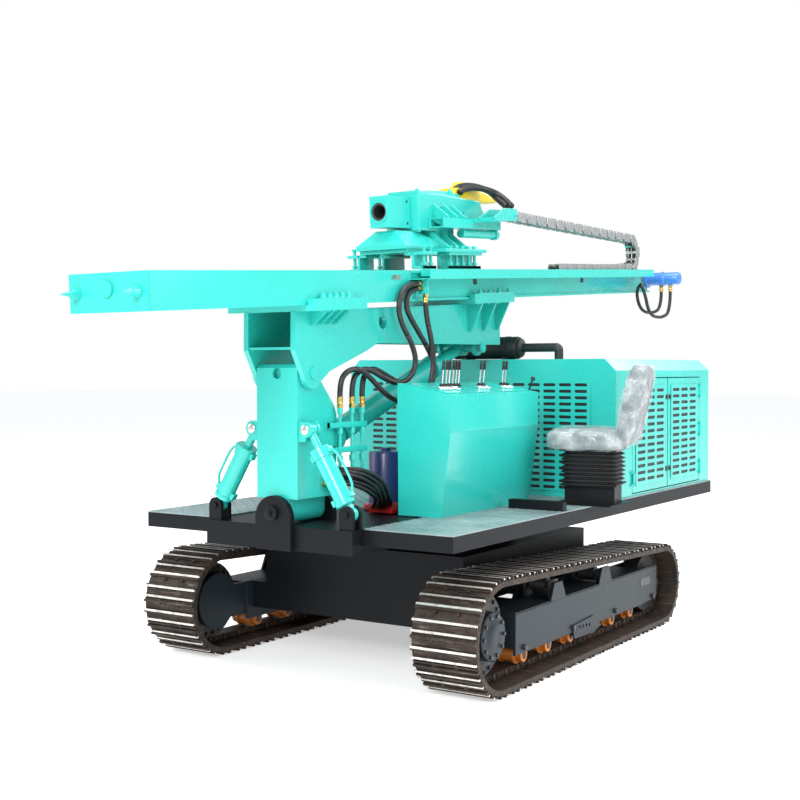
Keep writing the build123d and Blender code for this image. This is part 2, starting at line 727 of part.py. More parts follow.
with BuildPart() as spindle:
    with BuildSketch(mast_cut(840)):
        with Locations((0, BORE_H)):
            Circle(BORE_R + 11)
            Circle(BORE_R, mode=Mode.SUBTRACT)
    extrude(amount=-180)
    with BuildSketch(mast_cut(1020)):
        with Locations((0, BORE_H)):
            Circle(BORE_R + 11)
    extrude(amount=-8)
finish("spindle", spindle)

with BuildPart() as head_motor:
    with BuildSketch(mast_cut(1340 + SEAT_GAP)):
        with Locations((0, 545)):
            Circle(60)
    extrude(amount=-520)
finish("head_motor", head_motor)

CHAIN_H0 = TRAY_H0 + 30
CHAIN_T = 60.0
CHAIN_R = 136.0
CHAIN_S0 = 2373.0
CHAIN_TURN = 3554.0
CHAIN_TOP = (1750.0, 513.0)
with BuildPart() as chain_arm:
    with BuildSketch(mast_cut(1340 + SEAT_GAP)):
        with Locations((145, 455)):
            Rectangle(150, 60)
    extrude(amount=-400)
    with BuildSketch(mast_cut(1700)):
        with Locations((240, 480)):
            Rectangle(200, 60)
    extrude(amount=-(CHAIN_TOP[0] - SEAT_GAP - 1700))
finish("chain_arm", chain_arm)

# cable drag chain: lower run in the tray, loop at the rear, upper run to the arm
with BuildPart() as drag_chain:
    with BuildSketch(mast_side(248)):
        with BuildLine():
            top_h = CHAIN_H0 + 2 * CHAIN_R
            Line((CHAIN_S0, CHAIN_H0), (CHAIN_TURN, CHAIN_H0))
            ThreePointArc((CHAIN_TURN, CHAIN_H0), (CHAIN_TURN + CHAIN_R, CHAIN_H0 + CHAIN_R), (CHAIN_TURN, top_h))
            Line((CHAIN_TURN, top_h), CHAIN_TOP)
            Line(CHAIN_TOP, (CHAIN_TOP[0], CHAIN_TOP[1] - CHAIN_T))
            Line((CHAIN_TOP[0], CHAIN_TOP[1] - CHAIN_T), (CHAIN_TURN, top_h - CHAIN_T))
            ThreePointArc(
                (CHAIN_TURN, top_h - CHAIN_T), (CHAIN_TURN + CHAIN_R - CHAIN_T, CHAIN_H0 + CHAIN_R),
                (CHAIN_TURN, CHAIN_H0 + CHAIN_T),
            )
            Line((CHAIN_TURN, CHAIN_H0 + CHAIN_T), (CHAIN_S0, CHAIN_H0 + CHAIN_T))
            Line((CHAIN_S0, CHAIN_H0 + CHAIN_T), (CHAIN_S0, CHAIN_H0))
        make_face()
    extrude(amount=85)
finish("drag_chain", drag_chain)

# feed motor across the mast's rear end
with BuildPart() as feed_motor:
    with BuildSketch(side(MAST_HALF_W)):
        with Locations((2715, 2225)):
            Circle(45)
    extrude(amount=330)
    with BuildSketch(side(MAST_HALF_W)):
        with Locations((2715, 2225)):
            Circle(60)
    extrude(amount=20)
finish("feed_motor", feed_motor)

# ---------------------------------------------------------------- engine hood
DOORS = (  # name, front edge, rear edge, direction from the panel to its hinged edge
    ("hood_door_front", 765.0, 1329.0, -1),
    ("hood_door_rear", 1335.0, 1902.0, 1),
)
DOOR_Z0 = 815.0
DOOR_Z1 = 1500.0
HINGE_R = 7.0
HINGE_OUT = HINGE_R + 1  # the hinge pins stand this far outside the hood's side
HINGE_L = 60.0
LEAF_T = 3.0
HINGE_Z = (DOOR_Z0 + 90, (DOOR_Z0 + DOOR_Z1) / 2, DOOR_Z1 - 90)
with BuildPart() as hood:
    with BuildSketch(front(HOOD_FRONT)):
        with BuildLine():
            Polyline(
                (-HOOD_HALF_W, DECK_TOP), (HOOD_HALF_W, DECK_TOP), (HOOD_HALF_W, HOOD_TOP - HOOD_BEVEL),
                (HOOD_HALF_W - HOOD_BEVEL, HOOD_TOP), (-HOOD_HALF_W + HOOD_BEVEL, HOOD_TOP),
                (-HOOD_HALF_W, HOOD_TOP - HOOD_BEVEL), close=True,
            )
        make_face()
    extrude(amount=HOOD_FRONT - HOOD_REAR)
    with BuildSketch(front(HOOD_FRONT + SHEET_T)):
        with BuildLine():
            inner = HOOD_HALF_W - SHEET_T
            Polyline(
                (-inner, DECK_TOP), (inner, DECK_TOP), (inner, HOOD_TOP - HOOD_BEVEL - 2),
                (inner - HOOD_BEVEL + 2, HOOD_TOP - SHEET_T), (-inner + HOOD_BEVEL - 2, HOOD_TOP - SHEET_T),
                (-inner, HOOD_TOP - HOOD_BEVEL - 2), close=True,
            )
        make_face()
    extrude(amount=HOOD_FRONT - HOOD_REAR + 2 * SHEET_T, mode=Mode.SUBTRACT)
    for name, y0, y1, hinge_side in DOORS:
        with BuildSketch(side(HOOD_HALF_W - SHEET_T - 1)):
            with Locations(((y0 + y1) / 2, (DOOR_Z0 + DOOR_Z1) / 2)):
                Rectangle(y1 - y0 + DOOR_GAP, DOOR_Z1 - DOOR_Z0 + DOOR_GAP)
        extrude(amount=SHEET_T + 2, mode=Mode.SUBTRACT)
    # fixed halves of the door hinges, above and below each door's knuckle
    for name, y0, y1, hinge_side in DOORS:
        y_hinge = y1 if hinge_side > 0 else y0
        for z in HINGE_Z:
            for z0 in (z - HINGE_L / 2 - SEAT_GAP - 15, z + HINGE_L / 2 + SEAT_GAP):
                with BuildSketch(plan(z0)):
                    with Locations((HOOD_HALF_W + HINGE_OUT, y_hinge)):
                        Circle(HINGE_R)
                    with Locations((HOOD_HALF_W + HINGE_OUT / 2, y_hinge + hinge_side * 15)):
                        Rectangle(HINGE_OUT, 30)
                extrude(amount=15)
finish("hood", hood)

for name, y0, y1, hinge_side in DOORS:
    y_hinge = y1 if hinge_side > 0 else y0
    with BuildPart() as door:
        with BuildSketch(side(HOOD_HALF_W - SHEET_T)):
            with Locations(((y0 + y1) / 2, (DOOR_Z0 + DOOR_Z1) / 2)):
                Rectangle(y1 - y0 - DOOR_GAP, DOOR_Z1 - DOOR_Z0 - DOOR_GAP)
        extrude(amount=SHEET_T)
        # half of each hinge: a leaf on the door and a knuckle on the pin's line
        for z in HINGE_Z:
            with BuildSketch(side(HOOD_HALF_W)):
                with Locations((y_hinge - hinge_side * 23, z)):
                    Rectangle(40, HINGE_L)
            extrude(amount=LEAF_T)
            with BuildSketch(plan(z - HINGE_L / 2)):
                with Locations((HOOD_HALF_W + HINGE_OUT, y_hinge)):
                    Circle(HINGE_R)
                with Locations((HOOD_HALF_W + LEAF_T / 2 + 1, y_hinge - hinge_side * 5)):
                    Rectangle(LEAF_T + 2, 10)
            extrude(amount=HINGE_L)
    finish(name, door)

with BuildPart() as engine_block:
    with BuildSketch(plan(DECK_TOP)):
        with Locations((0, 1250)):
            Rectangle(620, 950)
    extrude(amount=620)
finish("engine_block", engine_block)

with BuildPart() as muffler:
    with BuildSketch(side(-300)):
        with Locations((790, 1687)):
            Circle(70)
    extrude(amount=480)
    with BuildSketch(plan(HOOD_TOP)):
        with Locations((-200, 790)):
            Circle(30)
    extrude(amount=74)
finish("muffler", muffler)

# ---------------------------------------------------------------- console
with BuildPart() as console:
    with BuildSketch(front(CONSOLE_FRONT)):
        with BuildLine():
            Polyline(
                (290, DECK_TOP), (547, DECK_TOP), (605, 1238), (605, 1424), (285, 1481), close=True,
            )
        make_face()
    extrude(amount=CONSOLE_FRONT - CONSOLE_REAR)
finish("console", console)

with BuildPart() as levers:
    for y in (-560, -520, -480, -440, -400, -360, -150, -110, 60, 100):
        with Locations(Location(point(420, y, 1458.7))):
            Cylinder(8, 140, align=(Align.CENTER, Align.CENTER, Align.MIN))
finish("levers", levers)

# ---------------------------------------------------------------- seat
seat_plane = Plane(point(SEAT_X, SEAT_Y, DECK_TOP + 8), x_dir=(cos(radians(SEAT_TURN)), sin(radians(SEAT_TURN)), 0))
with BuildPart() as seat_bracket:
    with BuildSketch(plan(DECK_TOP)):
        with Locations((SEAT_X - 9, SEAT_Y + 9)):
            Rectangle(360, 330)
    extrude(amount=8)
finish("seat_bracket", seat_bracket)

with BuildPart() as seat_base:
    with BuildSketch(seat_plane):
        Rectangle(280, 200)
    extrude(amount=100)
finish("seat_base", seat_base)

with BuildPart() as seat_bellows:
    with BuildSketch(seat_plane.offset(100)):
        Rectangle(310, 285)
    extrude(amount=200)
finish("seat_bellows", seat_bellows)

with BuildPart() as seat:
    with BuildSketch(seat_plane.offset(300)):
        with Locations((-20, 0)):
            Rectangle(420, 400)
    extrude(amount=110)
    with BuildSketch(Plane(seat_plane.origin, x_dir=seat_plane.x_dir, z_dir=seat_plane.y_dir * -1)):
        with BuildLine():
            Polyline((120, 410), (220, 760), (310, 760), (230, 330), (190, 330), close=True)
        make_face()
    extrude(amount=190, both=True)
finish("seat", seat)

# ---------------------------------------------------------------- files
for name, piece in pieces.items():
    piece.part.label = name
    export_step(piece.part, "parts/" + name + ".step")
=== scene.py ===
"""Looks of the pile driver rig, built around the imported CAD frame.

Places on the machine are in millimetres from the ground point between the tracks and half way along
them: X to the console's side, Y to the rear and Z up. Blender gets metres in the row frame.
"""
import json
import math

import bmesh
import bpy
from mathutils import Matrix, Vector, noise


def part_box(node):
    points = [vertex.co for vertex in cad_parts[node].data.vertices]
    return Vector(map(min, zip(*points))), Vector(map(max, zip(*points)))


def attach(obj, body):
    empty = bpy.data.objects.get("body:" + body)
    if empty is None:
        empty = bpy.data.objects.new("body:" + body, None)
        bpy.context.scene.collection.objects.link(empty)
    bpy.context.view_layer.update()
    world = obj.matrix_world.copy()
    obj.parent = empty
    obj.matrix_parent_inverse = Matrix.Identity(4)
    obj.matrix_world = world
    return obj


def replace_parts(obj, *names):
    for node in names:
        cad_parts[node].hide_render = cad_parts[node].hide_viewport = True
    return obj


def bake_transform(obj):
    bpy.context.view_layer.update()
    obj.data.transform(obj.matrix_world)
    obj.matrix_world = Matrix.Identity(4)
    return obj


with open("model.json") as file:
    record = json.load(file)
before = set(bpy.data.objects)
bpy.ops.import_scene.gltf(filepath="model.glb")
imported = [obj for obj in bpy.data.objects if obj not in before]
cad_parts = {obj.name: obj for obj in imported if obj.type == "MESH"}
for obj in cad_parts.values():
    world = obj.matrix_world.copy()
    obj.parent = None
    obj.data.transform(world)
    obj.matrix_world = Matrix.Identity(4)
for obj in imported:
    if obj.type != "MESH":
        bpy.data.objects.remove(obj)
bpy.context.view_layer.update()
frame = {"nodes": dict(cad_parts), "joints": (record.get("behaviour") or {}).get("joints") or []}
nodes = frame["nodes"]

# ---------------------------------------------------------------- the machine's own datum
MM = 0.001
left_low, left_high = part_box("track_left")
_, right_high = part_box("track_right")
DATUM = Vector(((left_low[0] + right_high[0]) / 2, (left_low[1] + left_high[1]) / 2, 0))

# the mast's own directions, from the joint that it slides on
MAST_ALONG = Vector(next(j["axis"] for j in frame["joints"] if j["name"] == "mast_slide"))
MAST_UP = Vector((0, -MAST_ALONG.z, MAST_ALONG.y))
PIN_Y = -1335.0
MAST_BASE_Z = 1864.0  # the mast's underside above the transverse pin


def at(x, y, z):
    """A place on the machine, in the row frame."""
    return DATUM + Vector((x, y, z)) * MM


def on_mast(x, s, h):
    """A place on the mast: s along it from above the transverse pin, h above its underside."""
    return at(x, PIN_Y, MAST_BASE_Z) + (MAST_ALONG * s + MAST_UP * h) * MM


# ---------------------------------------------------------------- camera
CAMERA_AT = (3829, -6205, 1550)
CAMERA_TURN = (88.625, 0.057, 33.07)  # degrees about X, Y and Z
SENSOR, LENS = 36.0, 56.52  # mm


def add_camera():
    data = bpy.data.cameras.new("camera")
    data.lens = LENS
    data.sensor_width = SENSOR
    camera = bpy.data.objects.new("camera", data)
    camera.location = at(*CAMERA_AT)
    camera.rotation_euler = [math.radians(a) for a in CAMERA_TURN]
    bpy.context.collection.objects.link(camera)
    bpy.context.scene.camera = camera


# ---------------------------------------------------------------- materials
class Nodes:
    """Short names for building one material's node tree."""

    def __init__(self, name):
        self.material = bpy.data.materials.new(name)
        self.material.use_nodes = True
        self.tree = self.material.node_tree
        self.shader = self.tree.nodes["Principled BSDF"]
        self.place = self.add("ShaderNodeTexCoord").outputs["Object"]

    def add(self, kind, **values):
        node = self.tree.nodes.new(kind)
        for key, value in values.items():
            setattr(node, key, value)
        return node

    def link(self, a, b):
        self.tree.links.new(a, b)

    def set(self, **values):
        for key, value in values.items():
            self.shader.inputs[key.replace("_", " ")].default_value = value

    def stretched(self, x, y, z):
        """The object's coordinates scaled along each axis."""
        node = self.add("ShaderNodeMapping")
        node.inputs["Scale"].default_value = (x, y, z)
        self.link(self.place, node.inputs["Vector"])
        return node.outputs["Vector"]

    def noise(self, scale, detail=4.0, rough=0.55, place=None):
        node = self.add("ShaderNodeTexNoise")
        for key, number in (("Scale", scale), ("Detail", detail), ("Roughness", rough)):
            node.inputs[key].default_value = number
        self.link(place or self.place, node.inputs["Vector"])
        return node.outputs["Fac"]

    def threads(self, direction, scale):
        node = self.add("ShaderNodeTexWave", wave_type="BANDS", bands_direction=direction)
        node.inputs["Scale"].default_value = scale
        self.link(self.place, node.inputs["Vector"])
        return node.outputs["Fac"]

    def spread(self, value, low, high, to_low=0.0, to_high=1.0):
        node = self.add("ShaderNodeMapRange")
        for key, number in (("From Min", low), ("From Max", high), ("To Min", to_low), ("To Max", to_high)):
            node.inputs[key].default_value = number
        self.link(value, node.inputs["Value"])
        return node.outputs["Result"]

    def times(self, a, b):
        node = self.add("ShaderNodeMath", operation="MULTIPLY")
        self.link(a, node.inputs[0])
        self.link(b, node.inputs[1])
        return node.outputs[0]

    def mix(self, share, a, b):
        """Colour a turning to b by a share: each is a fixed colour or a socket."""
        node = self.add("ShaderNodeMix", data_type="RGBA")
        self.link(share, node.inputs[0])
        for key, value in ((6, a), (7, b)):
            if isinstance(value, tuple):
                node.inputs[key].default_value = (*value, 1.0)
            else:
                self.link(value, node.inputs[key])
        return node.outputs[2]

    def upward(self):
        """1 on faces that look up and 0 on upright ones."""
        node = self.add("ShaderNodeSeparateXYZ")
        self.link(self.add("ShaderNodeNewGeometry").outputs["Normal"], node.inputs[0])
        return self.spread(node.outputs["Z"], 0.3, 0.95)

    def bump(self, height, strength, distance):
        node = self.add("ShaderNodeBump")
        node.inputs["Strength"].default_value = strength
        node.inputs["Distance"].default_value = distance
        self.link(height, node.inputs["Height"])
        self.link(node.outputs["Normal"], self.shader.inputs["Normal"])

    def colour(self, value):
        self.link(value, self.shader.inputs["Base Color"])

    def roughness(self, value):
        self.link(value, self.shader.inputs["Roughness"])


def shades(colour, vary):
    """A colour a little darker and a little lighter."""
    return [tuple(c * factor for c in colour) for factor in (1 - vary, 1 + vary)]


def paint(name, colour, rough=0.32, coat=0.25, dust=0.1, grime=(0.30, 0.30, 0.27), vary=0.06, specular=0.5):
    """Sprayed enamel: broad tone changes, orange peel, and dust on what looks up."""
    n = Nodes(name)
    fine = n.noise(46.0, 6.0)
    tone = n.mix(n.spread(n.noise(1.7, 3.0), 0.32, 0.68), *shades(colour, vary))
    settled = n.times(n.spread(fine, 0.35, 0.8, 0.0, dust), n.spread(n.upward(), 0.0, 1.0, 0.25, 1.0))
    n.colour(n.mix(settled, tone, grime))
    n.roughness(n.spread(fine, 0.2, 0.8, rough - 0.03, rough + 0.06))
    n.bump(n.noise(380.0, 2.0), 0.05, 0.0003)
    n.set(Coat_Weight=coat, Coat_Roughness=0.10, Specular_IOR_Level=specular)
    return n.material


def steel(name, colour, rough=0.38, metallic=1.0, stain=(0.10, 0.07, 0.05), stained=0.5, scale=9.0):
    """Bare or worn steel with stains and fine scratches."""
    n = Nodes(name)
    blot = n.noise(scale, 6.0, 0.65)
    n.colour(n.mix(n.spread(blot, 0.45, 0.75, 0.0, stained), colour, stain))
    n.roughness(n.spread(blot, 0.3, 0.7, rough - 0.1, rough + 0.25))
    n.bump(n.noise(160.0, 3.0), 0.25, 0.0006)
    n.set(Metallic=metallic)
    return n.material


def plain(name, colour, rough=0.55, grain=300.0, strength=0.2, vary=0.2):
    """Rubber, plastic or cast paint with a fine grain and slight tone changes."""
    n = Nodes(name)
    n.colour(n.mix(n.spread(n.noise(6.0), 0.3, 0.7), *shades(colour, vary)))
    n.roughness(n.spread(n.noise(25.0), 0.3, 0.7, rough - 0.1, rough + 0.1))
    n.bump(n.noise(grain, 2.0), strength, 0.0006)
    return n.material


def shoe_finish():
    """Rolled track shoes: dark brown mill scale, rust in the hollows and scraped patches."""
    n = Nodes("track_shoe_steel")
    blot = n.noise(14.0, 8.0, 0.7)
    scrape = n.noise(30.0, 5.0, 0.6, n.stretched(0.25, 3.0, 3.0))
    scale = n.mix(n.spread(blot, 0.35, 0.7), (0.030, 0.027, 0.026), (0.085, 0.058, 0.042))
    n.colour(n.mix(n.spread(scrape, 0.58, 0.76, 0.0, 0.6), scale, (0.30, 0.28, 0.26)))
    n.roughness(n.spread(scrape, 0.45, 0.7, 0.62, 0.34))
    n.bump(blot, 0.35, 0.0012)
    n.set(Metallic=0.55, Specular_IOR_Level=0.25)
    return n.material


def deck_finish():
    """Tread plate, painted grey-green and walked on."""
    n = Nodes("tread_plate")
    blot = n.noise(3.2, 6.0, 0.7)
    fine = n.noise(120.0, 4.0)
    worn = n.mix(n.spread(blot, 0.35, 0.7), (0.17, 0.24, 0.25), (0.33, 0.42, 0.42))
    n.colour(n.mix(n.spread(fine, 0.5, 0.8, 0.0, 0.35), worn, (0.5, 0.55, 0.53)))
    n.roughness(n.spread(blot, 0.3, 0.7, 0.30, 0.55))
    n.bump(fine, 0.2, 0.0005)
    n.set(Metallic=0.35)
    return n.material


def film_finish():
    """Clear packing film over what it wraps: grey, turning near white on its creases, partly the film's own
    milky creases and partly painted highlights.
    """
    n = Nodes("clear_film")
    crease = n.noise(11.0, 6.0, 0.6)
    n.set(Roughness=0.10, IOR=1.45, Specular_IOR_Level=0.9)
    # colour runs from grey to near white along the creases: painted highlights of the glossy film, with some
    # of its own milky whiteness
    n.colour(n.mix(n.spread(crease, 0.42, 0.62), (0.48, 0.56, 0.58), (0.86, 0.91, 0.93)))
    n.link(n.spread(crease, 0.38, 0.72, 0.10, 0.50), n.shader.inputs["Alpha"])
    n.bump(n.noise(20.0, 4.0), 0.5, 0.010)
    return n.material


def seat_finish():
    """Dark seat cloth with a woven grain."""
    n = Nodes("seat_cloth")
    weave = n.times(n.threads("X", 210.0), n.threads("Z", 210.0))
    n.colour(n.mix(n.spread(n.noise(9.0), 0.3, 0.7), (0.14, 0.165, 0.175), (0.20, 0.225, 0.235)))
    n.bump(weave, 0.5, 0.0008)
    n.set(Roughness=0.8, Sheen_Weight=0.3)
    return n.material


def hose_finish():
    """Hydraulic hose: black rubber with a fine grain and a slight shine."""
    n = Nodes("hose_rubber")
    n.colour(n.mix(n.spread(n.noise(30.0), 0.3, 0.7), (0.008, 0.008, 0.009), (0.020, 0.020, 0.021)))
    n.roughness(n.spread(n.noise(12.0), 0.3, 0.7, 0.30, 0.5))
    n.bump(n.noise(420.0, 2.0), 0.35, 0.0006)
    return n.material


teal = paint("teal_enamel", (0.026, 0.53, 0.465), 0.24, 0.4, 0.02, (0.30, 0.60, 0.55))
# the dark finishes mirror little of the white studio
dark = paint("dark_enamel", (0.006, 0.007, 0.009), 0.42, 0.0, 0.05, (0.05, 0.05, 0.05), specular=0.16)
frame_grey = paint(
    "blue_grey_enamel", (0.016, 0.024, 0.031), 0.38, 0.0, 0.07, (0.08, 0.08, 0.08), specular=0.25)
shoe_steel = shoe_finish()
orange = paint("orange_enamel", (0.66, 0.20, 0.02), 0.42, 0.15, 0.35, (0.18, 0.10, 0.05), 0.15)
yellow = paint("yellow_enamel", (0.85, 0.60, 0.01), 0.30, 0.3, 0.05)
blue = paint("blue_enamel", (0.05, 0.20, 0.62), 0.30, 0.3, 0.05)
navy = paint("navy_enamel", (0.02, 0.035, 0.16), 0.35, 0.3, 0.05)
red = paint("red_enamel", (0.50, 0.015, 0.012), 0.35, 0.3, 0.1)
edge_steel = steel("scraped_steel", (0.80, 0.77, 0.73), 0.34, 0.7, (0.20, 0.15, 0.11), 0.75, 26.0)
link_steel = steel("chain_link_steel", (0.075, 0.060, 0.050), 0.45, 0.6, (0.16, 0.08, 0.035), 0.8, 18.0)
bright_steel = steel("bright_steel", (0.62, 0.61, 0.59), 0.26, 1.0, (0.30, 0.24, 0.18), 0.3)
hub_steel = steel("hub_steel", (0.10, 0.10, 0.105), 0.42, 0.7, (0.05, 0.045, 0.04), 0.6)
chain_metal = steel("drag_chain_zinc", (0.46, 0.47, 0.47), 0.32, 0.9, (0.16, 0.13, 0.10), 0.45, 30.0)
brass = steel("brass", (0.72, 0.47, 0.14), 0.25, 1.0, (0.30, 0.16, 0.04), 0.4, 40.0)
chrome = steel("chrome", (0.80, 0.80, 0.81), 0.10, 1.0, (0.55, 0.55, 0.55), 0.1)
black = plain("black_plastic", (0.012, 0.012, 0.013), 0.42)
drum_black = plain("heatproof_black", (0.018, 0.018, 0.019), 0.50, 180.0, 0.35)
rubber = plain("black_rubber", (0.010, 0.010, 0.011), 0.60)
white = plain("dial_white", (0.80, 0.80, 0.78), 0.35, 300.0, 0.05, 0.03)
iron = plain("cast_iron", (0.05, 0.05, 0.05), 0.6, 120.0, 0.5)
tread = deck_finish()
film = film_finish()
cloth = seat_finish()
hose_skin = hose_finish()

# the finish of each CAD node that stays in sight
FINISH = {
    teal: (
        "post", "tilt_right_barrel", "tilt_left_barrel", "tilt_right_rod", "tilt_left_rod", "carrier",
        "lift_barrel", "lift_rod", "mast_foot", "tray", "hood", "hood_door_front", "hood_door_rear",
        "console",
    ),
    dark: (
        "cross_frame", "platform_frame", "trunnion", "clevis_right", "clevis_left", "seat_base",
        "seat_bracket",
    ),
    frame_grey: ("track_frame_right", "track_frame_left"),
    shoe_steel: ("track_right", "track_left"),
    hub_steel: (
        "carrier_rollers_right", "carrier_rollers_left", "drive_wheel_right", "drive_wheel_left",
        "idler_right", "idler_left", "spindle",
    ),
    tread: ("deck",),
    iron: ("engine_block",),
}
for material, names in FINISH.items():
    for name in names:
        nodes[name].data.materials.clear()
        nodes[name].data.materials.append(material)


# ---------------------------------------------------------------- places and planes
def shift(x, y, z):
    """A move in millimetres."""
    return Matrix.Translation((x * MM, y * MM, z * MM))


def turned(angle, axis="Z"):
    return Matrix.Rotation(angle, 4, axis)


def facing(place, direction):
    """Matrix at a place whose Z looks along direction."""
    return Matrix.Translation(place) @ Vector(direction).to_track_quat("Z", "Y").to_matrix().to_4x4()


def upright(x, y, z):
    """Matrix at a place on the machine whose Z looks up."""
    return facing(at(x, y, z), (0, 0, 1))


def off_mast(x, s, h):
    """Matrix at a place on the mast whose Z looks away from it."""
    return facing(on_mast(x, s, h), MAST_UP)


def axes(origin, x, y):
    """Matrix at origin with the given X and Y directions."""
    x, y = Vector(x).normalized(), Vector(y).normalized()
    matrix = Matrix((x, y, x.cross(y))).transposed().to_4x4()
    matrix.translation = origin
    return matrix


def level(z):
    """Level plane at height z, facing up."""
    return axes(at(0, 0, z), (1, 0, 0), (0, 1, 0))


def across(y):
    """Upright plane at y, facing the front: local x is +X, local y is +Z."""
    return axes(at(0, y, 0), (1, 0, 0), (0, 0, 1))


def beside(x):
    """Upright plane at x, facing +X: local x is +Y, local y is +Z."""
    return axes(at(x, 0, 0), (0, 1, 0), (0, 0, 1))


def mast_cut(s):
    """Plane across the mast at s, facing its foot: local x is +X, local y is up."""
    return axes(on_mast(0, s, 0), (1, 0, 0), MAST_UP)


def mast_side(x):
    """Plane along the mast at x, facing +X: local x runs to the rear, local y is up."""
    return axes(on_mast(x, 0, 0), MAST_ALONG, MAST_UP)


def mast_plan(h):
    """Plane parallel to the mast at h above its underside: local x is +X, local y runs to the rear."""
    return axes(on_mast(0, 0, h), (1, 0, 0), MAST_ALONG)


# ---------------------------------------------------------------- outlines
def rect(x, y, width, height):
    w, h = width / 2, height / 2
    return [(x - w, y - h), (x + w, y - h), (x + w, y + h), (x - w, y + h)]


def disc(x, y, radius, count=36):
    turn = [math.tau * k / count for k in range(count)]
    return [(x + radius * math.cos(a), y + radius * math.sin(a)) for a in turn]


def louvre(x, y, width, height, count=5):
    """Slot with round ends."""
    r = height / 2
    turn = [math.pi * k / count - math.pi / 2 for k in range(count + 1)]
    return ([(x + width / 2 - r + r * math.cos(a), y + r * math.sin(a)) for a in turn]
            + [(x - width / 2 + r - r * math.cos(a), y - r * math.sin(a)) for a in turn])


def louvres(x, y, columns, rows, step_x, step_y, width, height):
    """Columns and rows of slots about a place."""
    return [louvre(x + (i - (columns - 1) / 2) * step_x, y + (j - (rows - 1) / 2) * step_y, width, height)
            for i in range(columns) for j in range(rows)]


def length_of(line):
    return sum(math.dist(a, b) for a, b in zip(line, line[1:]))


def walk(line, count, shares=(0.5,)):
    """Places on a flat line at shares of each of its equal lengths, and its directions there."""
    whole, found, k, walked = length_of(line), [], 0, 0.0
    for aim in ((n + share) / count * whole for n in range(count) for share in shares):
        while walked + math.dist(line[k], line[k + 1]) < aim:
            walked += math.dist(line[k], line[k + 1])
            k += 1
        (x, y), (x1, y1) = line[k], line[k + 1]
        t = (aim - walked) / math.dist(line[k], line[k + 1])
        found.append(((x + (x1 - x) * t, y + (y1 - y) * t), (x1 - x, y1 - y)))
    return found


# ---------------------------------------------------------------- making pieces
SHARP = math.radians(34)  # edges sharper than this stay sharp


def add_piece(name, data, material, body):
    """Makes an object of a mesh or curve, and rides it on its body, if it has one yet."""
    data.materials.append(material)
    piece = bpy.data.objects.new(name, data)
    bpy.context.collection.objects.link(piece)
    if body:
        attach(piece, body)
    return piece


def finish_piece(name, mesh, material, body="chassis", smooth=False):
    """Makes a piece of a bmesh, whose sharp edges stay sharp unless it is smooth."""
    data = bpy.data.meshes.new(name)
    mesh.to_mesh(data)
    mesh.free()
    data.shade_smooth()
    if not smooth:
        data.set_sharp_from_angle(angle=SHARP)
    return add_piece(name, data, material, body)


def mesh_of(curve):
    """The mesh that a curve makes, which takes the curve's place."""
    helper = bpy.data.objects.new("helper", curve)
    made = bpy.data.meshes.new_from_object(helper)
    bpy.data.objects.remove(helper)
    bpy.data.curves.remove(curve)
    return made


def skin(mesh, rings):
    """Joins rings of vertices, of which the last may be one point, and closes the open ends."""
    for a, b in zip(rings, rings[1:]):
        for k in range(len(a)):
            j = (k + 1) % len(a)
            mesh.faces.new((a[k], a[j], b[0]) if len(b) == 1 else (a[k], a[j], b[j], b[k]))
    mesh.faces.new(rings[0][::-1])
    if len(rings[-1]) > 1:
        mesh.faces.new(rings[-1])


def lathe(mesh, place, profile, sides=24):
    """Adds the turned shape of (radius, height) steps, in millimetres, standing on a matrix."""
    skin(mesh, [
        [mesh.verts.new(place @ Vector((
            radius * MM * math.cos(math.tau * k / sides), radius * MM * math.sin(math.tau * k / sides),
            height * MM)))
         for k in range(sides if radius else 1)]
        for radius, height in profile])


def loft(mesh, low, high):
    """Adds the solid between two rings of places."""
    skin(mesh, [[mesh.verts.new(place) for place in ring] for ring in (low, high)])


def plate(mesh, place, outline, thick):
    """Adds a flat plate of an outline in millimetres, standing on a matrix."""
    loft(mesh, *([place @ Vector((x * MM, y * MM, z * MM)) for x, y in outline] for z in (0, thick)))


def slab(mesh, place, outlines, low, high, bevel=1.5):
    """Adds a plate from low to high along Z, its edges broken: the first outline goes round the others."""
    bevel = min(bevel, (high - low) * 0.4)
    data = bpy.data.curves.new("slab", "CURVE")
    data.dimensions = "2D"
    data.fill_mode = "BOTH"
    data.extrude = ((high - low) / 2 - bevel) * MM
    data.bevel_depth = bevel * MM
    data.bevel_resolution = 1
    data.offset = -bevel * MM
    for outline in outlines:
        spline = data.splines.new("POLY")
        spline.points.add(len(outline) - 1)
        for point, (x, y) in zip(spline.points, outline):
            point.co = (x * MM, y * MM, 0, 1)
        spline.use_cyclic_u = True
    made = mesh_of(data)
    made.transform(place @ shift(0, 0, (low + high) / 2))
    mesh.from_mesh(made)
    bpy.data.meshes.remove(made)


def bar(mesh, s0, s1, outlines, bevel=1.5):
    """Adds what runs along the mast from s0 to s1, with the given section."""
    slab(mesh, mast_cut(s0), outlines, s0 - s1, 0, bevel)


def bolt(mesh, place, size, washer=True, stub=0.0):
    """Adds a hexagon head of a size across its corners, on its washer, with the bolt's end through it."""
    r = size / 2
    if washer:
        lathe(mesh, place, ((r * 1.25, -0.5), (r * 1.25, r * 0.22), (r * 1.18, r * 0.28)), 16)
    lathe(mesh, place, ((r, r * 0.2), (r, r * 0.85), (r * 0.86, r * 1.0)), 6)
    if stub:
        lathe(mesh, place, ((r * 0.5, r * 0.9), (r * 0.5, r + stub), (r * 0.4, r + stub + 1.5)), 12)


def bolt_circle(mesh, place, count, radius, height, size, start=0.0, washer=False):
    for k in range(count):
        bolt(mesh, place @ turned(math.tau * (k + start) / count) @ shift(radius, 0, height), size, washer)


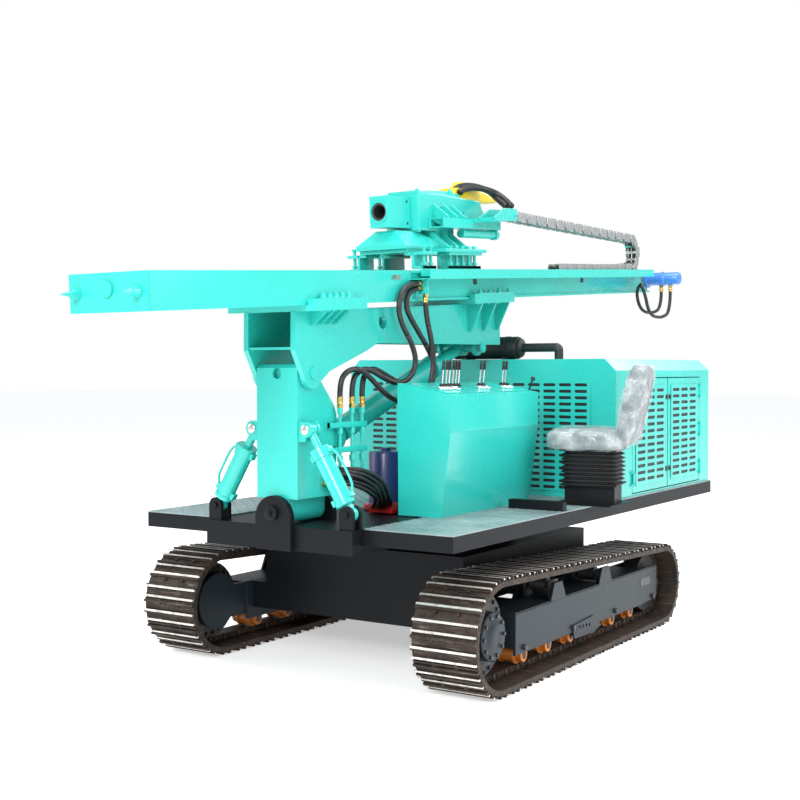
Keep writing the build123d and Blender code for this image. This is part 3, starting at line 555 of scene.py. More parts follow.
def fitting(mesh, place, direction, size, reach):
    """Adds a crimped hose end with its nut, from a place back along the hose."""
    spot = facing(place, direction)
    lathe(mesh, spot, ((size * 1.12, 0), (size * 1.12, reach * 0.3), (size * 0.95, reach * 0.34)), 6)
    lathe(mesh, spot, ((size * 0.8, reach * 0.3), (size * 1.05, reach * 0.42), (size * 1.05, reach * 0.62),
                       (size * 0.92, reach * 0.66), (size * 1.05, reach * 0.70), (size * 1.05, reach * 0.95),
                       (size * 0.9, reach)), 20)


def route_curve(name, points, diameter):
    """A smooth NURBS curve with the given places as its control points, as a tube if it has a diameter."""
    data = bpy.data.curves.new(name, "CURVE")
    data.dimensions = "3D"
    data.resolution_u = 10
    data.bevel_depth = diameter * MM / 2
    data.bevel_resolution = 4
    data.use_fill_caps = bool(diameter)
    spline = data.splines.new("NURBS")
    spline.points.add(len(points) - 1)
    for point, place in zip(spline.points, points):
        point.co = (*place, 1.0)
    spline.order_u = 3
    spline.use_endpoint_u = True
    return data


def curve_line(points):
    """The places that the NURBS route through these points follows."""
    mesh = mesh_of(route_curve("line", points, 0.0))
    line = [vertex.co.copy() for vertex in mesh.vertices]
    bpy.data.meshes.remove(mesh)
    return line


def pipe(name, points, diameter, material, body="chassis"):
    """A fixed bent pipe or short clipped hose that rides on one body."""
    add_piece(name, route_curve(name, points, diameter), material, body)


def swept_mesh(line, diameter, sides=12):
    """A tube mesh along a line, with its ends closed."""
    mesh = bmesh.new()
    rings = []
    side = Vector((1, 0, 0))
    for k, place in enumerate(line):
        tangent = (line[min(k + 1, len(line) - 1)] - line[max(k - 1, 0)]).normalized()
        side = (side - tangent * side.dot(tangent)).normalized()
        other = tangent.cross(side)
        turn = [math.tau * j / sides for j in range(sides)]
        rings.append([mesh.verts.new(place + (side * math.cos(a) + other * math.sin(a)) * diameter * MM / 2)
                      for a in turn])
    skin(mesh, rings)
    return mesh


def hose(name, points, diameter, bodies):
    """A hydraulic hose along a route: it rides on one body, or, laid between two, is fixed where it lies and
    rides on neither.
    """
    line = curve_line(points)
    made = finish_piece(name, swept_mesh(line, diameter), hose_skin, None, smooth=True)
    if len(bodies) == 1:
        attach(made, bodies[0])
    else:
        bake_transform(made)
    return made


# ---------------------------------------------------------------- tracks
TRACK_X = (abs(left_low[0] - DATUM.x) + abs(left_high[0] - DATUM.x)) / 2 / MM  # middle of each track
SHOE_W = (left_high[0] - left_low[0]) / MM
TRACK_END = (left_high[1] - left_low[1]) / 2 / MM
FRONT_R, REAR_R = 285.0, 245.0  # over the grousers at the drive wheel and at the idler
FRONT_C, REAR_C = (-TRACK_END + FRONT_R, FRONT_R), (TRACK_END - REAR_R, REAR_R)
SHOE_COUNT = 44
GROUSER_H = 16.0
SHOE_IN, BAND_IN = 42.0, 76.0  # from the grousers' tips in to the shoes' inner face and the chain's
CHAIN_IN = (SHOE_IN + BAND_IN) / 2
BAND_X = 45.0  # from the track's middle to the chain's sides
TRACK_LINK = [(-17, -34), (-12, -18), (-12, 18), (-17, 34), (13, 34), (9, 18), (9, -18), (13, -34)]
SIDES = (("right", 1), ("left", -1))


def belt_line(inset, step=4.0):
    """The track's closed loop as places (y, z), from under the drive wheel to the rear and over the top."""
    run = REAR_C[0] - FRONT_C[0]
    drop = math.asin((FRONT_R - REAR_R) / math.hypot(run, FRONT_R - REAR_R))
    lean = math.pi / 2 - 2 * drop
    line = [(FRONT_C[0], inset)]
    for (y, z), radius, start, end in (
        (REAR_C, REAR_R - inset, -math.pi / 2, lean),
        (FRONT_C, FRONT_R - inset, lean, math.pi * 1.5),
    ):
        count = int((end - start) * radius / step)
        turn = [start + (end - start) * k / count for k in range(count + 1)]
        line += [(y + radius * math.cos(a), z + radius * math.sin(a)) for a in turn]
    return line


def stations(x, inset, *shares):
    """Matrices at shares of each shoe's length: X across the track, Y along it, Z outward."""
    return [axes(at(x, *place), (-1, 0, 0), (0, *along))
            for place, along in walk(belt_line(inset), SHOE_COUNT, shares)]


def add_tracks():
    """Bare grouser tips, the lips between shoes, and the chain with its pins and bolts."""
    for hand, sign in SIDES:
        x = sign * TRACK_X
        edges, lips, bolts, chain = (bmesh.new() for _ in range(4))
        for tip in stations(x, 0.0, 0.2, 0.8):
            plate(edges, tip, rect(0, 0, SHOE_W - 3, 11.5), 0.6)
            for end in (-1, 1):
                plate(edges, tip @ shift(end * SHOE_W / 2, 0, -8), rect(0, 0, 1.4, 10), 8)
        for middle in stations(x, GROUSER_H, 0.5):
            slab(lips, middle, [rect(0, 0, SHOE_W - 2, 11)], -1, 9, 2)
            for bolt_x in (-62, 62):
                for bolt_y in (-14, 14):
                    bolt(bolts, middle @ shift(bolt_x, bolt_y, 0), 20, False)
        for seam in stations(x, GROUSER_H, 0.0):
            slab(lips, seam, [rect(0, 5, SHOE_W, 14)], -0.5, 4.5, 2)
        for face in (-1, 1):
            outward = shift(face * BAND_X, 0, 0) @ turned(face * math.pi / 2, "Y")
            for pin in stations(x, CHAIN_IN, 0.0):
                lathe(chain, pin @ outward, ((17, 0), (17, 7), (15, 8), (9, 8), (8, 10), (0, 10)), 16)
            for link in stations(x, CHAIN_IN, 0.5):
                slab(chain, link @ outward, [TRACK_LINK], 0, 5, 1.2)
                for bolt_y in (-20, 20):
                    bolt(chain, link @ outward @ shift(-3, bolt_y, 4), 15, False)
        finish_piece(f"shoe_edges_{hand}", edges, edge_steel)
        finish_piece(f"shoe_lips_{hand}", lips, shoe_steel)
        finish_piece(f"shoe_bolts_{hand}", bolts, shoe_steel)
        finish_piece(f"chain_links_{hand}", chain, link_steel)


SKIRT_OUT, SKIRT_IN = 960.0, 750.0  # 4 mm under the skirts' outer faces
SKIRT_FACE = SKIRT_OUT + 4
SKIRT = [(-770, 148), (820, 148), (1010, 160), (1068, 178), (1068, 352), (-770, 352)]
STEP_PLATE = [(-139, 188), (128, 202), (235, 133), (128, 108), (-114, 114)]
HUB_X = 940.0  # where the covers of the wheels' hubs start


def sided(sign, low, high):
    """A plate's limits along X on the right side, or mirrored for the left."""
    return (low, high) if sign > 0 else (-high, -low)


def add_track_frames():
    """Skirts over the rollers, tensioner slots, guards, and what is bolted to the wheels."""
    for hand, sign in SIDES:
        plates, trim = bmesh.new(), bmesh.new()
        for x in (SKIRT_OUT, SKIRT_IN):
            slab(plates, beside(sign * x), [SKIRT], *sided(sign, -12, 4), 2)
        outer = beside(sign * SKIRT_FACE)
        low, high = sided(sign, 0, 8)
        holes = [disc(-90 + 42 * k, 171 - 2.5 * k, 9, 16) for k in range(5)]
        slab(plates, outer, [STEP_PLATE, *holes], low, high)
        for k in range(4):
            bolt(trim, outer @ shift(-680 + k * 560, 176, low), 32, False)
        slab(trim, outer, [louvre(889, 282, 158, 48)], *sided(sign, 0, 1.5), 0.3)
        for y in (-290, 310):
            guard = [(y - 92, 350), (y - 46, 445), (y + 46, 445), (y + 92, 350)]
            for x in (SKIRT_FACE - 1, SKIRT_IN):
                slab(plates, beside(sign * x), [guard], *sided(sign, -14, 0))
        hub, rear = (facing(at(sign * HUB_X, *centre), (sign, 0, 0)) for centre in (FRONT_C, REAR_C))
        lathe(plates, hub, ((118, 0), (118, 26), (112, 32), (60, 32), (54, 36), (0, 36)), 40)
        bolt_circle(trim, hub, 10, 98, 31, 20)
        lathe(plates, rear, ((52, 0), (52, 14), (46, 18), (0, 18)), 32)
        bolt_circle(trim, rear, 6, 34, 16, 12)
        for face in (-1, 1):
            wheel = facing(at(sign * TRACK_X + face * 46, *FRONT_C), (face, 0, 0))
            bolt_circle(trim, wheel, 22, 186, 0, 22)
        finish_piece(f"track_frame_plates_{hand}", plates, frame_grey)
        finish_piece(f"track_frame_trim_{hand}", trim, hub_steel)


ROLLER_COUNT, ROLLERS_Y = 6, (-770.0, 860.0)
ROLLER_R, SADDLE_R, SADDLE_W = 48.0, 35.0, 22.0
# each radius and its distance from the roller's middle, from the pin to the tread
ROLLER_STEPS = ((18, 62), (30, 60), (36, 57), (36, 47), (ROLLER_R, 45), (ROLLER_R, 34), (40, 31))


def add_rollers():
    """Lower rollers: a flanged tread on a pin between two rounded saddles."""
    pitch = (ROLLERS_Y[1] - ROLLERS_Y[0]) / ROLLER_COUNT
    for hand, _ in SIDES:
        name = "rollers_" + hand
        low, high = ((corner - DATUM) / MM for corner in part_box(name))
        middle, half = (low.x + high.x) / 2, (high.x - low.x) / 2
        z = low.z + ROLLER_R
        steps = ((18, half), *ROLLER_STEPS)
        profile = [(r, half - x) for r, x in steps] + [(r, half + x) for r, x in reversed(steps)]
        rollers, pins = bmesh.new(), bmesh.new()
        for k in range(ROLLER_COUNT):
            y = ROLLERS_Y[0] + (k + 0.5) * pitch
            lathe(rollers, facing(at(middle - half, y, z), (1, 0, 0)), profile, 40)
            turn = [math.pi * i / 10 for i in range(11)]
            saddle = [(y - SADDLE_R * math.cos(a), z - SADDLE_R * math.sin(a)) for a in turn]
            saddle = [(y - SADDLE_R, high.z), *saddle, (y + SADDLE_R, high.z)]
            for x in (middle - half, middle + half - SADDLE_W):
                slab(rollers, beside(x), [saddle], 0, SADDLE_W, 2.5)
            for end in (-1, 1):
                lathe(pins, facing(at(middle + end * half, y, z), (end, 0, 0)),
                      ((18, -2), (18, 3), (14, 5), (0, 5)), 24)
        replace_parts(finish_piece("roller_sets_" + hand, rollers, orange), name)
        finish_piece("roller_pins_" + hand, pins, hub_steel)


# ---------------------------------------------------------------- deck and what stands on it
TREAD_X, TREAD_Y, TREAD_PITCH = -925.0, -1320.0, 42.0  # the first lozenge, and on to the next
TREAD_COLUMNS, TREAD_ROWS = 45, 44
DECK_LOW = 0.79  # metres above the ground: what lies lower isn't the deck's top
LOZENGE = [(-15, 0), (-7, -3.4), (7, -3.4), (15, 0), (7, 3.4), (-7, 3.4)]


def add_deck_tread():
    """Raised lozenges of the tread plate, turned by turns."""
    mesh = bmesh.new()
    for i in range(TREAD_COLUMNS):
        for j in range(TREAD_ROWS):
            above = at(TREAD_X + i * TREAD_PITCH, TREAD_Y + j * TREAD_PITCH, 900)
            found, place, _, _ = nodes["deck"].ray_cast(above, Vector((0, 0, -1)))
            if found and place.z >= DECK_LOW:
                turn = math.pi / 4 if (i + j) % 2 else -math.pi / 4
                plate(mesh, Matrix.Translation(place) @ turned(turn), LOZENGE, 1.6)
    finish_piece("deck_tread", mesh, tread)


def add_foot_tube():
    """Square tube in front of the seat."""
    mesh = bmesh.new()
    slab(mesh, beside(612), [rect(-165, 825, 50, 50)], 0, 325, 3)
    finish_piece("foot_tube", mesh, dark)


HOOD_FRONT, HOOD_REAR, HOOD_HALF_W, HOOD_TOP = 518.0, 2085.0, 930.0, 1613.5
# columns, rows, their steps, and each slot's width and height
HOOD_SLOTS = (15, 17, 102, 37.8, 80, 18)
DOOR_SLOTS = (3, 14, 150, 41, 118, 19)
REAR_SLOTS = (7, 13, 118, 38, 92, 18)


def add_grilles():
    """Louvred panels on the hood's front, doors, side and rear, over a black sheet that paints the shade
    behind the slots.
    """
    front, right = across(HOOD_FRONT), beside(HOOD_HALF_W)
    left = axes(at(-HOOD_HALF_W, 0, 0), (0, -1, 0), (0, 0, 1))
    rear = axes(at(0, HOOD_REAR, 0), (-1, 0, 0), (0, 0, 1))
    for name, body, plane, x, z, width, height, slots in (
        ("hood_louvres", "chassis", front, 0, 1158.5, 1550, 647, HOOD_SLOTS),
        ("door_louvres_front", "hood_door_front", right, 1047, 1157, 470, 600, DOOR_SLOTS),
        ("door_louvres_rear", "hood_door_rear", right, 1618, 1157, 470, 600, DOOR_SLOTS),
        ("side_louvres_front", "chassis", left, -1047, 1157, 540, 660, DOOR_SLOTS),
        ("side_louvres_rear", "chassis", left, -1618, 1157, 540, 660, DOOR_SLOTS),
        ("rear_louvres", "chassis", rear, 0, 1180, 900, 560, REAR_SLOTS),
    ):
        panel, slot_shade = bmesh.new(), bmesh.new()
        outline = rect(x, z, width, height)
        slab(panel, plane, [outline, *louvres(x, z, *slots)], 1.2, 5.5, 0.6)
        # a black sheet behind the slots that closes them: painted shade of the dark hood inside
        slab(slot_shade, plane, [outline], 0.2, 1.0, 0.1)
        finish_piece(name, panel, teal, body)
        finish_piece(name + "_gauze", slot_shade, black, body)


def add_door_catches():
    for door, y in (("front", 1302), ("rear", 1362)):
        catches = bmesh.new()
        for z in (930, 1380):
            lathe(catches, facing(at(HOOD_HALF_W + 5.5, y, z), (1, 0, 0)),
                  ((16, -5), (16, 0), (13, 3), (5, 3), (5, 6), (0, 6)), 20)
        finish_piece("door_catches_" + door, catches, black, "hood_door_" + door)


MUFFLER_Y, MUFFLER_Z = 790.0, 1687.0
MUFFLER = (
    (40, 0), (56, 2), (58, 12), (66, 14), (70, 20), (70, 470), (66, 478), (58, 480), (58, 494), (34, 500),
    (27, 506), (27, 690),
)
TAIL_X = 438.0


def add_muffler():
    y, z = MUFFLER_Y, MUFFLER_Z
    mesh = bmesh.new()
    lathe(mesh, facing(at(-312, y, z), (1, 0, 0)), MUFFLER, 48)
    for x in (-200, 90):
        slab(mesh, level(HOOD_TOP), [rect(x, y, 40, 110)], 0, 14, 2)
        lathe(mesh, facing(at(x - 12, y, z), (1, 0, 0)), ((72.5, 0), (72.5, 24)), 48)
    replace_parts(finish_piece("muffler_drum", mesh, drum_black), "muffler")
    tail = ((370, z), (400, z), (TAIL_X, z), (TAIL_X, z - 40), (TAIL_X, HOOD_TOP + 0.5))
    pipe("muffler_tail", [at(x, y, height) for x, height in tail], 54, drum_black)


CONSOLE_IN, CONSOLE_OUT = (285.0, 1481.0), (605.0, 1424.0)  # (x, z) of its top's edges
GAUGES = ((-700, 26), (-640, 26), (-565, 30), (-300, 24), (-235, 24), (-30, 24), (30, 24))  # y, radius
LEVER_Y = (-557, -521, -486, -452, -420, -388, -158, -116, 103, 134)


def add_console():
    """Panel with its gauges, and the levers in their boots."""
    slope = (CONSOLE_OUT[0] - CONSOLE_IN[0], 0, CONSOLE_OUT[1] - CONSOLE_IN[1])
    top = axes(at(CONSOLE_IN[0], 0, CONSOLE_IN[1]), slope, (0, 1, 0))
    panel, rims, dials, rods, grips, boots = (bmesh.new() for _ in range(6))
    slab(panel, top, [rect(160, -304, 262, 905)], 0.2, 5)
    slab(panel, beside(606), [rect(-304, 1240, 940, 10)], -1, 3)
    for y, r in GAUGES:
        spot = top @ shift(218, y, 5)
        lathe(rims, spot, ((r, 0), (r, 10), (r - 2, 12), (r - 5, 12), (r - 6, 7)), 32)
        lathe(dials, spot, ((r - 5, 0), (r - 5, 7.5)), 32)
        # each needle points its own way
        plate(rods, spot @ turned(y) @ shift(0, 0, 7.6),
              [(-1.2, -4), (1.2, -4), (0.5, r - 9), (-0.5, r - 9)], 0.8)
    for k, y in enumerate(LEVER_Y):
        foot = (top @ shift(130, y, 4)).translation
        spot = facing(foot, (0.10, 0.03 * math.sin(k * 2.3), 1))
        lathe(boots, spot, ((17, 0), (17, 4), (11, 8), (12, 11), (7, 16)), 20)
        lathe(rods, spot, ((4.2, 12), (4.2, 96)), 12)
        lathe(grips, spot, (
            (6.5, 88), (8.5, 92), (8.5, 100), (7.2, 118), (8.2, 134), (5, 139), (0, 140)), 16)
    finish_piece("console_panel", panel, teal)
    finish_piece("gauge_rims", rims, chrome, smooth=True)
    finish_piece("gauge_dials", dials, white)
    finish_piece("lever_boots", boots, rubber, smooth=True)
    finish_piece("lever_grips", grips, black, smooth=True)
    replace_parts(finish_piece("lever_rods", rods, chrome), "levers")
    knob = bmesh.new()
    lathe(knob, facing(at(560, 150, 1432), (0.3, 0.2, 1)),
          ((5, 0), (5, 60), (11, 64), (14, 72), (11, 82), (0, 84)), 16)
    finish_piece("throttle_knob", knob, black, smooth=True)


# ---------------------------------------------------------------- seat
SEAT = Matrix.Translation(at(899, 281, 808)) @ turned(math.radians(12))  # its foot on the deck
CHANNEL_AT, CHANNEL_W, CHANNEL_DEEP = 0.42, 0.035, 4.0  # shares of half a pad's width, and mm


def pad_mesh(place, size, crown, power=5.0, cuts=18):
    """Crowned closed form: rounded corners, sides that pull in and a domed top, with sewn channels."""
    mesh = bmesh.new()
    bmesh.ops.create_cube(mesh, size=2.0)
    bmesh.ops.subdivide_edges(mesh, edges=mesh.edges, cuts=cuts, use_grid_fill=True)
    for vertex in mesh.verts:
        u, v, w = vertex.co
        length = (abs(u) ** power + abs(v) ** power + abs(w) ** power) ** (1 / power)
        u, v, w = u / length, v / length, w / length
        waist = 1 - 0.03 * (1 - w * w) * (u * u * v * v < 0.3)
        dome = crown * (1 - u * u) * (1 - v * v) if w > 0 else 0.0
        channel = CHANNEL_DEEP * math.exp(-((abs(u) - CHANNEL_AT) / CHANNEL_W) ** 2) if w > 0.2 else 0.0
        x, y, z = (share * length / 2 for share, length in zip((u * waist, v * waist, w), size))
        vertex.co = place @ (Vector((x, y, z + dome - channel)) * MM)
    return mesh


def film_mesh(mesh, swell, folds, seed):
    """Packing film over a pad: the same form, loose and creased."""
    made = mesh.copy()
    made.normal_update()
    for vertex in made.verts:
        p = vertex.co * 9.0 + Vector((seed, 0, 0))
        crease = abs(noise.noise(p * 1.3)) * 0.6 + abs(noise.noise(p * 2.9)) * 0.4
        vertex.co += vertex.normal * (swell + folds * crease) * MM
    return made


def add_seat_plates():
    """Plates above and below the bellows."""
    base = bmesh.new()
    slab(base, SEAT, [rect(0, 0, 300, 240)], 100, 108, 2)
    for low in (100, 292):
        slab(base, SEAT, [rect(0, 0, 318, 292)], low, low + 10, 2)
    finish_piece("seat_plates", base, dark)


BELLOWS_LOW, BELLOWS_H, BELLOWS_FOLDS = 106.0, 188.0, 8


def add_bellows():
    """Rubber bellows under the seat: rounded rectangles that swell and shrink with each fold."""
    mesh, rings, steps = bmesh.new(), [], BELLOWS_FOLDS * 6
    for t in (k / steps for k in range(steps + 1)):
        out = 11 * math.cos(math.tau * t * BELLOWS_FOLDS) + 5 * math.sin(math.pi * t)
        ring = []
        for c, s in disc(0, 0, 1, 64):
            r = 1 / (abs(c) ** 6 + abs(s) ** 6) ** (1 / 6)
            place = ((150 + out) * r * c, (138 + out) * r * s, BELLOWS_LOW + BELLOWS_H * t)
            ring.append(mesh.verts.new(SEAT @ (Vector(place) * MM)))
        rings.append(ring)
    skin(mesh, rings)
    made = finish_piece("seat_bellows_folded", mesh, rubber, smooth=True)
    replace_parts(made, "seat_bellows")


def add_seat_pads():
    """Cushion and back, each in its packing film."""
    pan = SEAT @ shift(-20, 0, 352)
    back = SEAT @ shift(236, 0, 548) @ turned(math.radians(-78), "Y")
    for name, place, size, crown, seed in (
        ("seat_cushion", pan, (430, 410, 105), 14, 3.0),
        ("seat_back", back, (450, 400, 92), 12, 9.0),
    ):
        mesh = pad_mesh(place, size, crown)
        wrap = film_mesh(mesh, 5.0, 22.0, seed)
        made = finish_piece(name, mesh, cloth, smooth=True)
        if name == "seat_cushion":
            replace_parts(made, "seat")
        finish_piece(name + "_film", wrap, film, smooth=True)


# ---------------------------------------------------------------- drive head
HEAD_FRONT, BORE_H, CASE_X, HEAD_LOW = 835.0, 490.0, 110.0, 391.0
BORE_R = 49.5
FLANGE_TOP, FLANGE_T, STUD_STEP = 264.0, 20.0, 68.0
CHAIN_X, CHAIN_W = 248.0, 85.0  # the drag chain's inner side and its width
FORK_T = 10.0


def add_head_carriage(case, studs):
    """Slides that grip the mast's flanges, their studs, and the plates on top of them."""
    for side, s0, s1 in ((1, 1145, 1514), (-1, 1125, 1340), (1, 880, 1020), (-1, 880, 1020)):
        for x, h, width, height in ((209, 181, 66, 16), (178, 219, 16, 90), (234, 160, 16, 56)):
            bar(case, s0, s1, [rect(side * x, h, width, height)])
        slab(case, mast_plan(FLANGE_TOP - 16), [rect(side * 190, (s0 + s1) / 2, 124, s1 - s0)], 0, 16)
        count = int((s1 - s0) / STUD_STEP)
        for k in range(count):
            s = (s0 + s1) / 2 + (k - (count - 1) / 2) * STUD_STEP
            lathe(studs, off_mast(side * 228, s, 188),
                  ((9, 0), (9, FLANGE_TOP - 200), (9, 100), (7, 112)), 14)
            for h in (FLANGE_TOP + FLANGE_T, 190):
                bolt(studs, off_mast(side * 228, s, h), 34, False)
    for outline in (rect(0, 1191, 300, 646), rect(0, 1232, 500, 215), rect(195, 1330, 125, 460)):
        slab(case, mast_plan(FLANGE_TOP), [outline], 0, FLANGE_T)
    # sloping cover
    slab(case, mast_plan(FLANGE_TOP + FLANGE_T), [rect(0, 1055, 320, 440)], 0, 22)
    loft(case, [on_mast(x, s, FLANGE_TOP + FLANGE_T + 22) for x, s in rect(0, 1055, 320, 440)],
         [on_mast(x, s, 388) for x, s in rect(0, 1000, 130, 210)])


def add_gearbox(case, studs, holes):
    """Spindle housing with its front ring, the gear case behind it, and black discs of painted shade for the
    screw holes.
    """
    bore = disc(0, BORE_H, BORE_R)
    bar(case, HEAD_FRONT, 1085, [rect(0, BORE_H, 122, 172), bore], 3)
    bar(case, HEAD_FRONT - 5, HEAD_FRONT, [disc(0, BORE_H, 60), bore], 1)
    bar(case, 1078, 1102, [rect(0, 497, 200, 230)])
    # black discs instead of tapped holes: painted shade inside the holes
    for x, s, h in ((61.2, 1025, BORE_H + 60), (61.2, 1025, BORE_H - 60),
                    (CASE_X + 0.2, 1300, 520), (CASE_X + 0.2, 1560, 500)):
        lathe(holes, facing(on_mast(x, s, h), (1, 0, 0)), ((7, 0), (7, 1.2)), 16)
    slab(case, mast_side(-CASE_X), [[
        (1066, HEAD_LOW), (1066, 590), (1269, 604), (1420, 596), (1758, 582), (1836, 470), (1313, 408),
        (1250, HEAD_LOW)]], 0, 2 * CASE_X, 7)
    lathe(case, facing(on_mast(0, 1086, 548), MAST_ALONG),
          ((60, 0), (66, 30), (84, 270), (93, 500), (60, 520)), 48)
    slab(case, mast_plan(FLANGE_TOP + 18), [rect(0, 1360, 190, 210)], 0, HEAD_LOW - FLANGE_TOP)
    # ribs that carry the case and the hoses' channel
    for s in (1225, 1330, 1420):
        bar(case, s, s + 12, [[(CASE_X - 4, 462), (206, 462), (206, 470), (CASE_X - 4, 548)]])
        bar(case, s - 20, s - 6, [[
            (60, 284), (215, 284), (215, 300), (95, HEAD_LOW + 4), (60, HEAD_LOW + 4)]])
    for s, h in ((1140, 585), (1500, 600)):
        lathe(case, off_mast(60, s, h), ((15, 0), (15, 26), (11, 30)), 16)
        bolt(studs, off_mast(60, s, h + 28), 26, False)


def add_chain_arm(case, studs):
    """Channel of the hoses along the right side, valve tube under it, and the drag chain's fork."""
    bar(case, 1165, 1835, [rect(158, 432, 96, 56), rect(166, 432, 78, 40)])
    for s, radius, length in ((1416, 25, 385), (1795, 31, 34)):
        lathe(case, facing(on_mast(170, s, 378), MAST_ALONG), ((radius, 0), (radius, length)), 28)
    for x, face in ((CHAIN_X - 11, -1), (CHAIN_X + CHAIN_W + 1, 1)):
        slab(case, mast_side(x), [[(1500, 462), (1640, 520), (1792, 520), (1792, 452), (1560, 440)]],
             0, FORK_T)
        bolt(studs, facing(on_mast(x + FORK_T * (1 + face) / 2, 1765, 486), (face, 0, 0)), 20)
    slab(case, mast_plan(440), [rect(270, 1560, 140, 90)], 0, 24)


def add_head():
    case, studs, holes = (bmesh.new() for _ in range(3))
    add_head_carriage(case, studs)
    add_gearbox(case, studs, holes)
    add_chain_arm(case, studs)
    made = finish_piece("head_case", case, teal, "head")
    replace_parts(made, "head_carriage", "gearbox", "chain_arm")
    finish_piece("head_studs", studs, teal, "head")
    # black discs: painted shade of the screw holes
    finish_piece("head_screw_hole_shades", holes, black, "head")


def add_head_motor():
    """Motor under its cover, and the two hoses over it to the drag chain."""
    cover = bmesh.new()
    slab(cover, mast_side(-56), [[
        (1560, 560), (1560, 652), (1715, 676), (1957, 640), (2090, 604), (2060, 586), (1758, 578),
    ]], 0, 112, 10)
    slab(cover, mast_side(-40), [[(1640, 640), (1700, 700), (1760, 690), (1800, 655)]], 0, 80, 8)
    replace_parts(finish_piece("head_motor_cover", cover, yellow, "head"), "head_motor")
    for k, (x, rise) in enumerate(((30, 0), (75, -16))):
        route = (
            (x, 1590, 625), (x, 1610, 664 + rise), (x + 30, 1740, 680 + rise), (x + 90, 1850, 652 + rise),
            (x + 160, 1850, 585), (CHAIN_X + 20 + 34 * k, 1800, 540))
        hose(f"head_hose_{k + 1}", [on_mast(*p) for p in route], 38, ["head"])


# ---------------------------------------------------------------- drag chain
CHAIN_START, CHAIN_TURN = 2373.0, 3554.0  # the lower run's ends, along the mast
CHAIN_END = (1756.0, 483.0)  # along the mast and above its underside, on the head
CHAIN_LOW = 173.0  # middle of the lower run above the mast's underside
LOOP_R = 106.0
LINK_STEP, LINK_T = 66.0, 5.0


def add_drag_chain():
    """Chain of links and stays, laid back over itself on the mast, with three lines in it."""
    turn = [math.pi * k / 24 for k in range(25)]
    route = [(CHAIN_START, CHAIN_LOW),
             *((CHAIN_TURN + LOOP_R * math.sin(a), CHAIN_LOW + LOOP_R * (1 - math.cos(a))) for a in turn),
             CHAIN_END]
    count = int(length_of(route) / LINK_STEP)
    half = 0.60 * length_of(route) / count
    edge = [(-half, -13), (13 - half, -30), (-8, -30), (0, -22), (8, -30), (half - 13, -30), (half, -13)]
    link = edge + [(-x, -y) for x, y in edge]
    links, stays = bmesh.new(), bmesh.new()
    for k, ((s, h), (run, rise)) in enumerate(walk(route, count)):
        spot = mast_side(0) @ shift(s, h, 0) @ turned(math.atan2(rise, run))
        inset = 6.0 * (k % 2)
        for x in (CHAIN_X + inset, CHAIN_X + CHAIN_W - inset - LINK_T):
            slab(links, spot @ shift(0, 0, x), [link], 0, LINK_T, 0.8)
            for end in (-1, 1):
                lathe(links, spot @ shift(end * (half - 13), 0, x - 1.5), ((8, 0), (8, 8)), 12)
        for y in (-27, 27):
            slab(stays, spot @ shift(0, 0, CHAIN_X + 4), [rect(0, y, 18, 5)], 0, CHAIN_W - 8, 1)
    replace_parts(finish_piece("drag_chain_links", links, chain_metal, "head"), "drag_chain")
    finish_piece("drag_chain_stays", stays, bright_steel, "head")
    for k, (x, rise) in enumerate(((272, 6), (296, -8), (314, 8))):
        line = [on_mast(x, s, h + rise) for s, h in (route[-1], *route[-2:-25:-4], route[0])]
        pipe(f"chain_line_{k + 1}", line, 18, hose_skin, "head")


# ---------------------------------------------------------------- mast, carrier and feed motor
MAST_HALF_W, MAST_H = 225.0, 165.0
FOOT_S, BEAM_S = (-1172.5, 787.5), (780.0, 4130.0)  # the closed foot and the beam along the mast
WEB_X = 207.0


def add_mast():
    """Closed foot, a hollow beam with flanges, black patches of painted shade for the holes in its webs, the
    plate that the hoses end on, and a blank data plate.
    """
    mesh, hole_shades, tag = (bmesh.new() for _ in range(3))
    bar(mesh, *FOOT_S, [rect(0, MAST_H / 2, 2 * MAST_HALF_W, MAST_H)], 2)
    right = ((MAST_HALF_W, 0), (MAST_HALF_W, 12), (WEB_X, 12), (WEB_X, 151), (MAST_HALF_W, 151),
             (MAST_HALF_W, MAST_H))
    section = [*right, *((-x, y) for x, y in reversed(right))]
    bar(mesh, *BEAM_S, [section, rect(0, 82, 390, 136)], 1)
    bar(mesh, 850, 862, [rect(256, 78, 58, 84)])
    bar(mesh, 840, 846, [[(204, 113), (300, 113), (204, 30)]])
    # black patches on the webs instead of cut holes: painted shade of the hollow mast inside
    for x in (WEB_X + 0.2, -WEB_X - 1.6):
        for s in (1500, 2964):
            slab(hole_shades, mast_side(x), [rect(s, 100, 44, 34)], 0, 1.4, 0.3)
    slab(tag, mast_side(MAST_HALF_W + 0.2), [rect(640, 128, 92, 26)], 0, 1.2, 0.4)
    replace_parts(finish_piece("mast_box", mesh, teal, "mast"), "mast")
    finish_piece("mast_windows", hole_shades, black, "mast")
    finish_piece("mast_tag", tag, bright_steel, "mast")


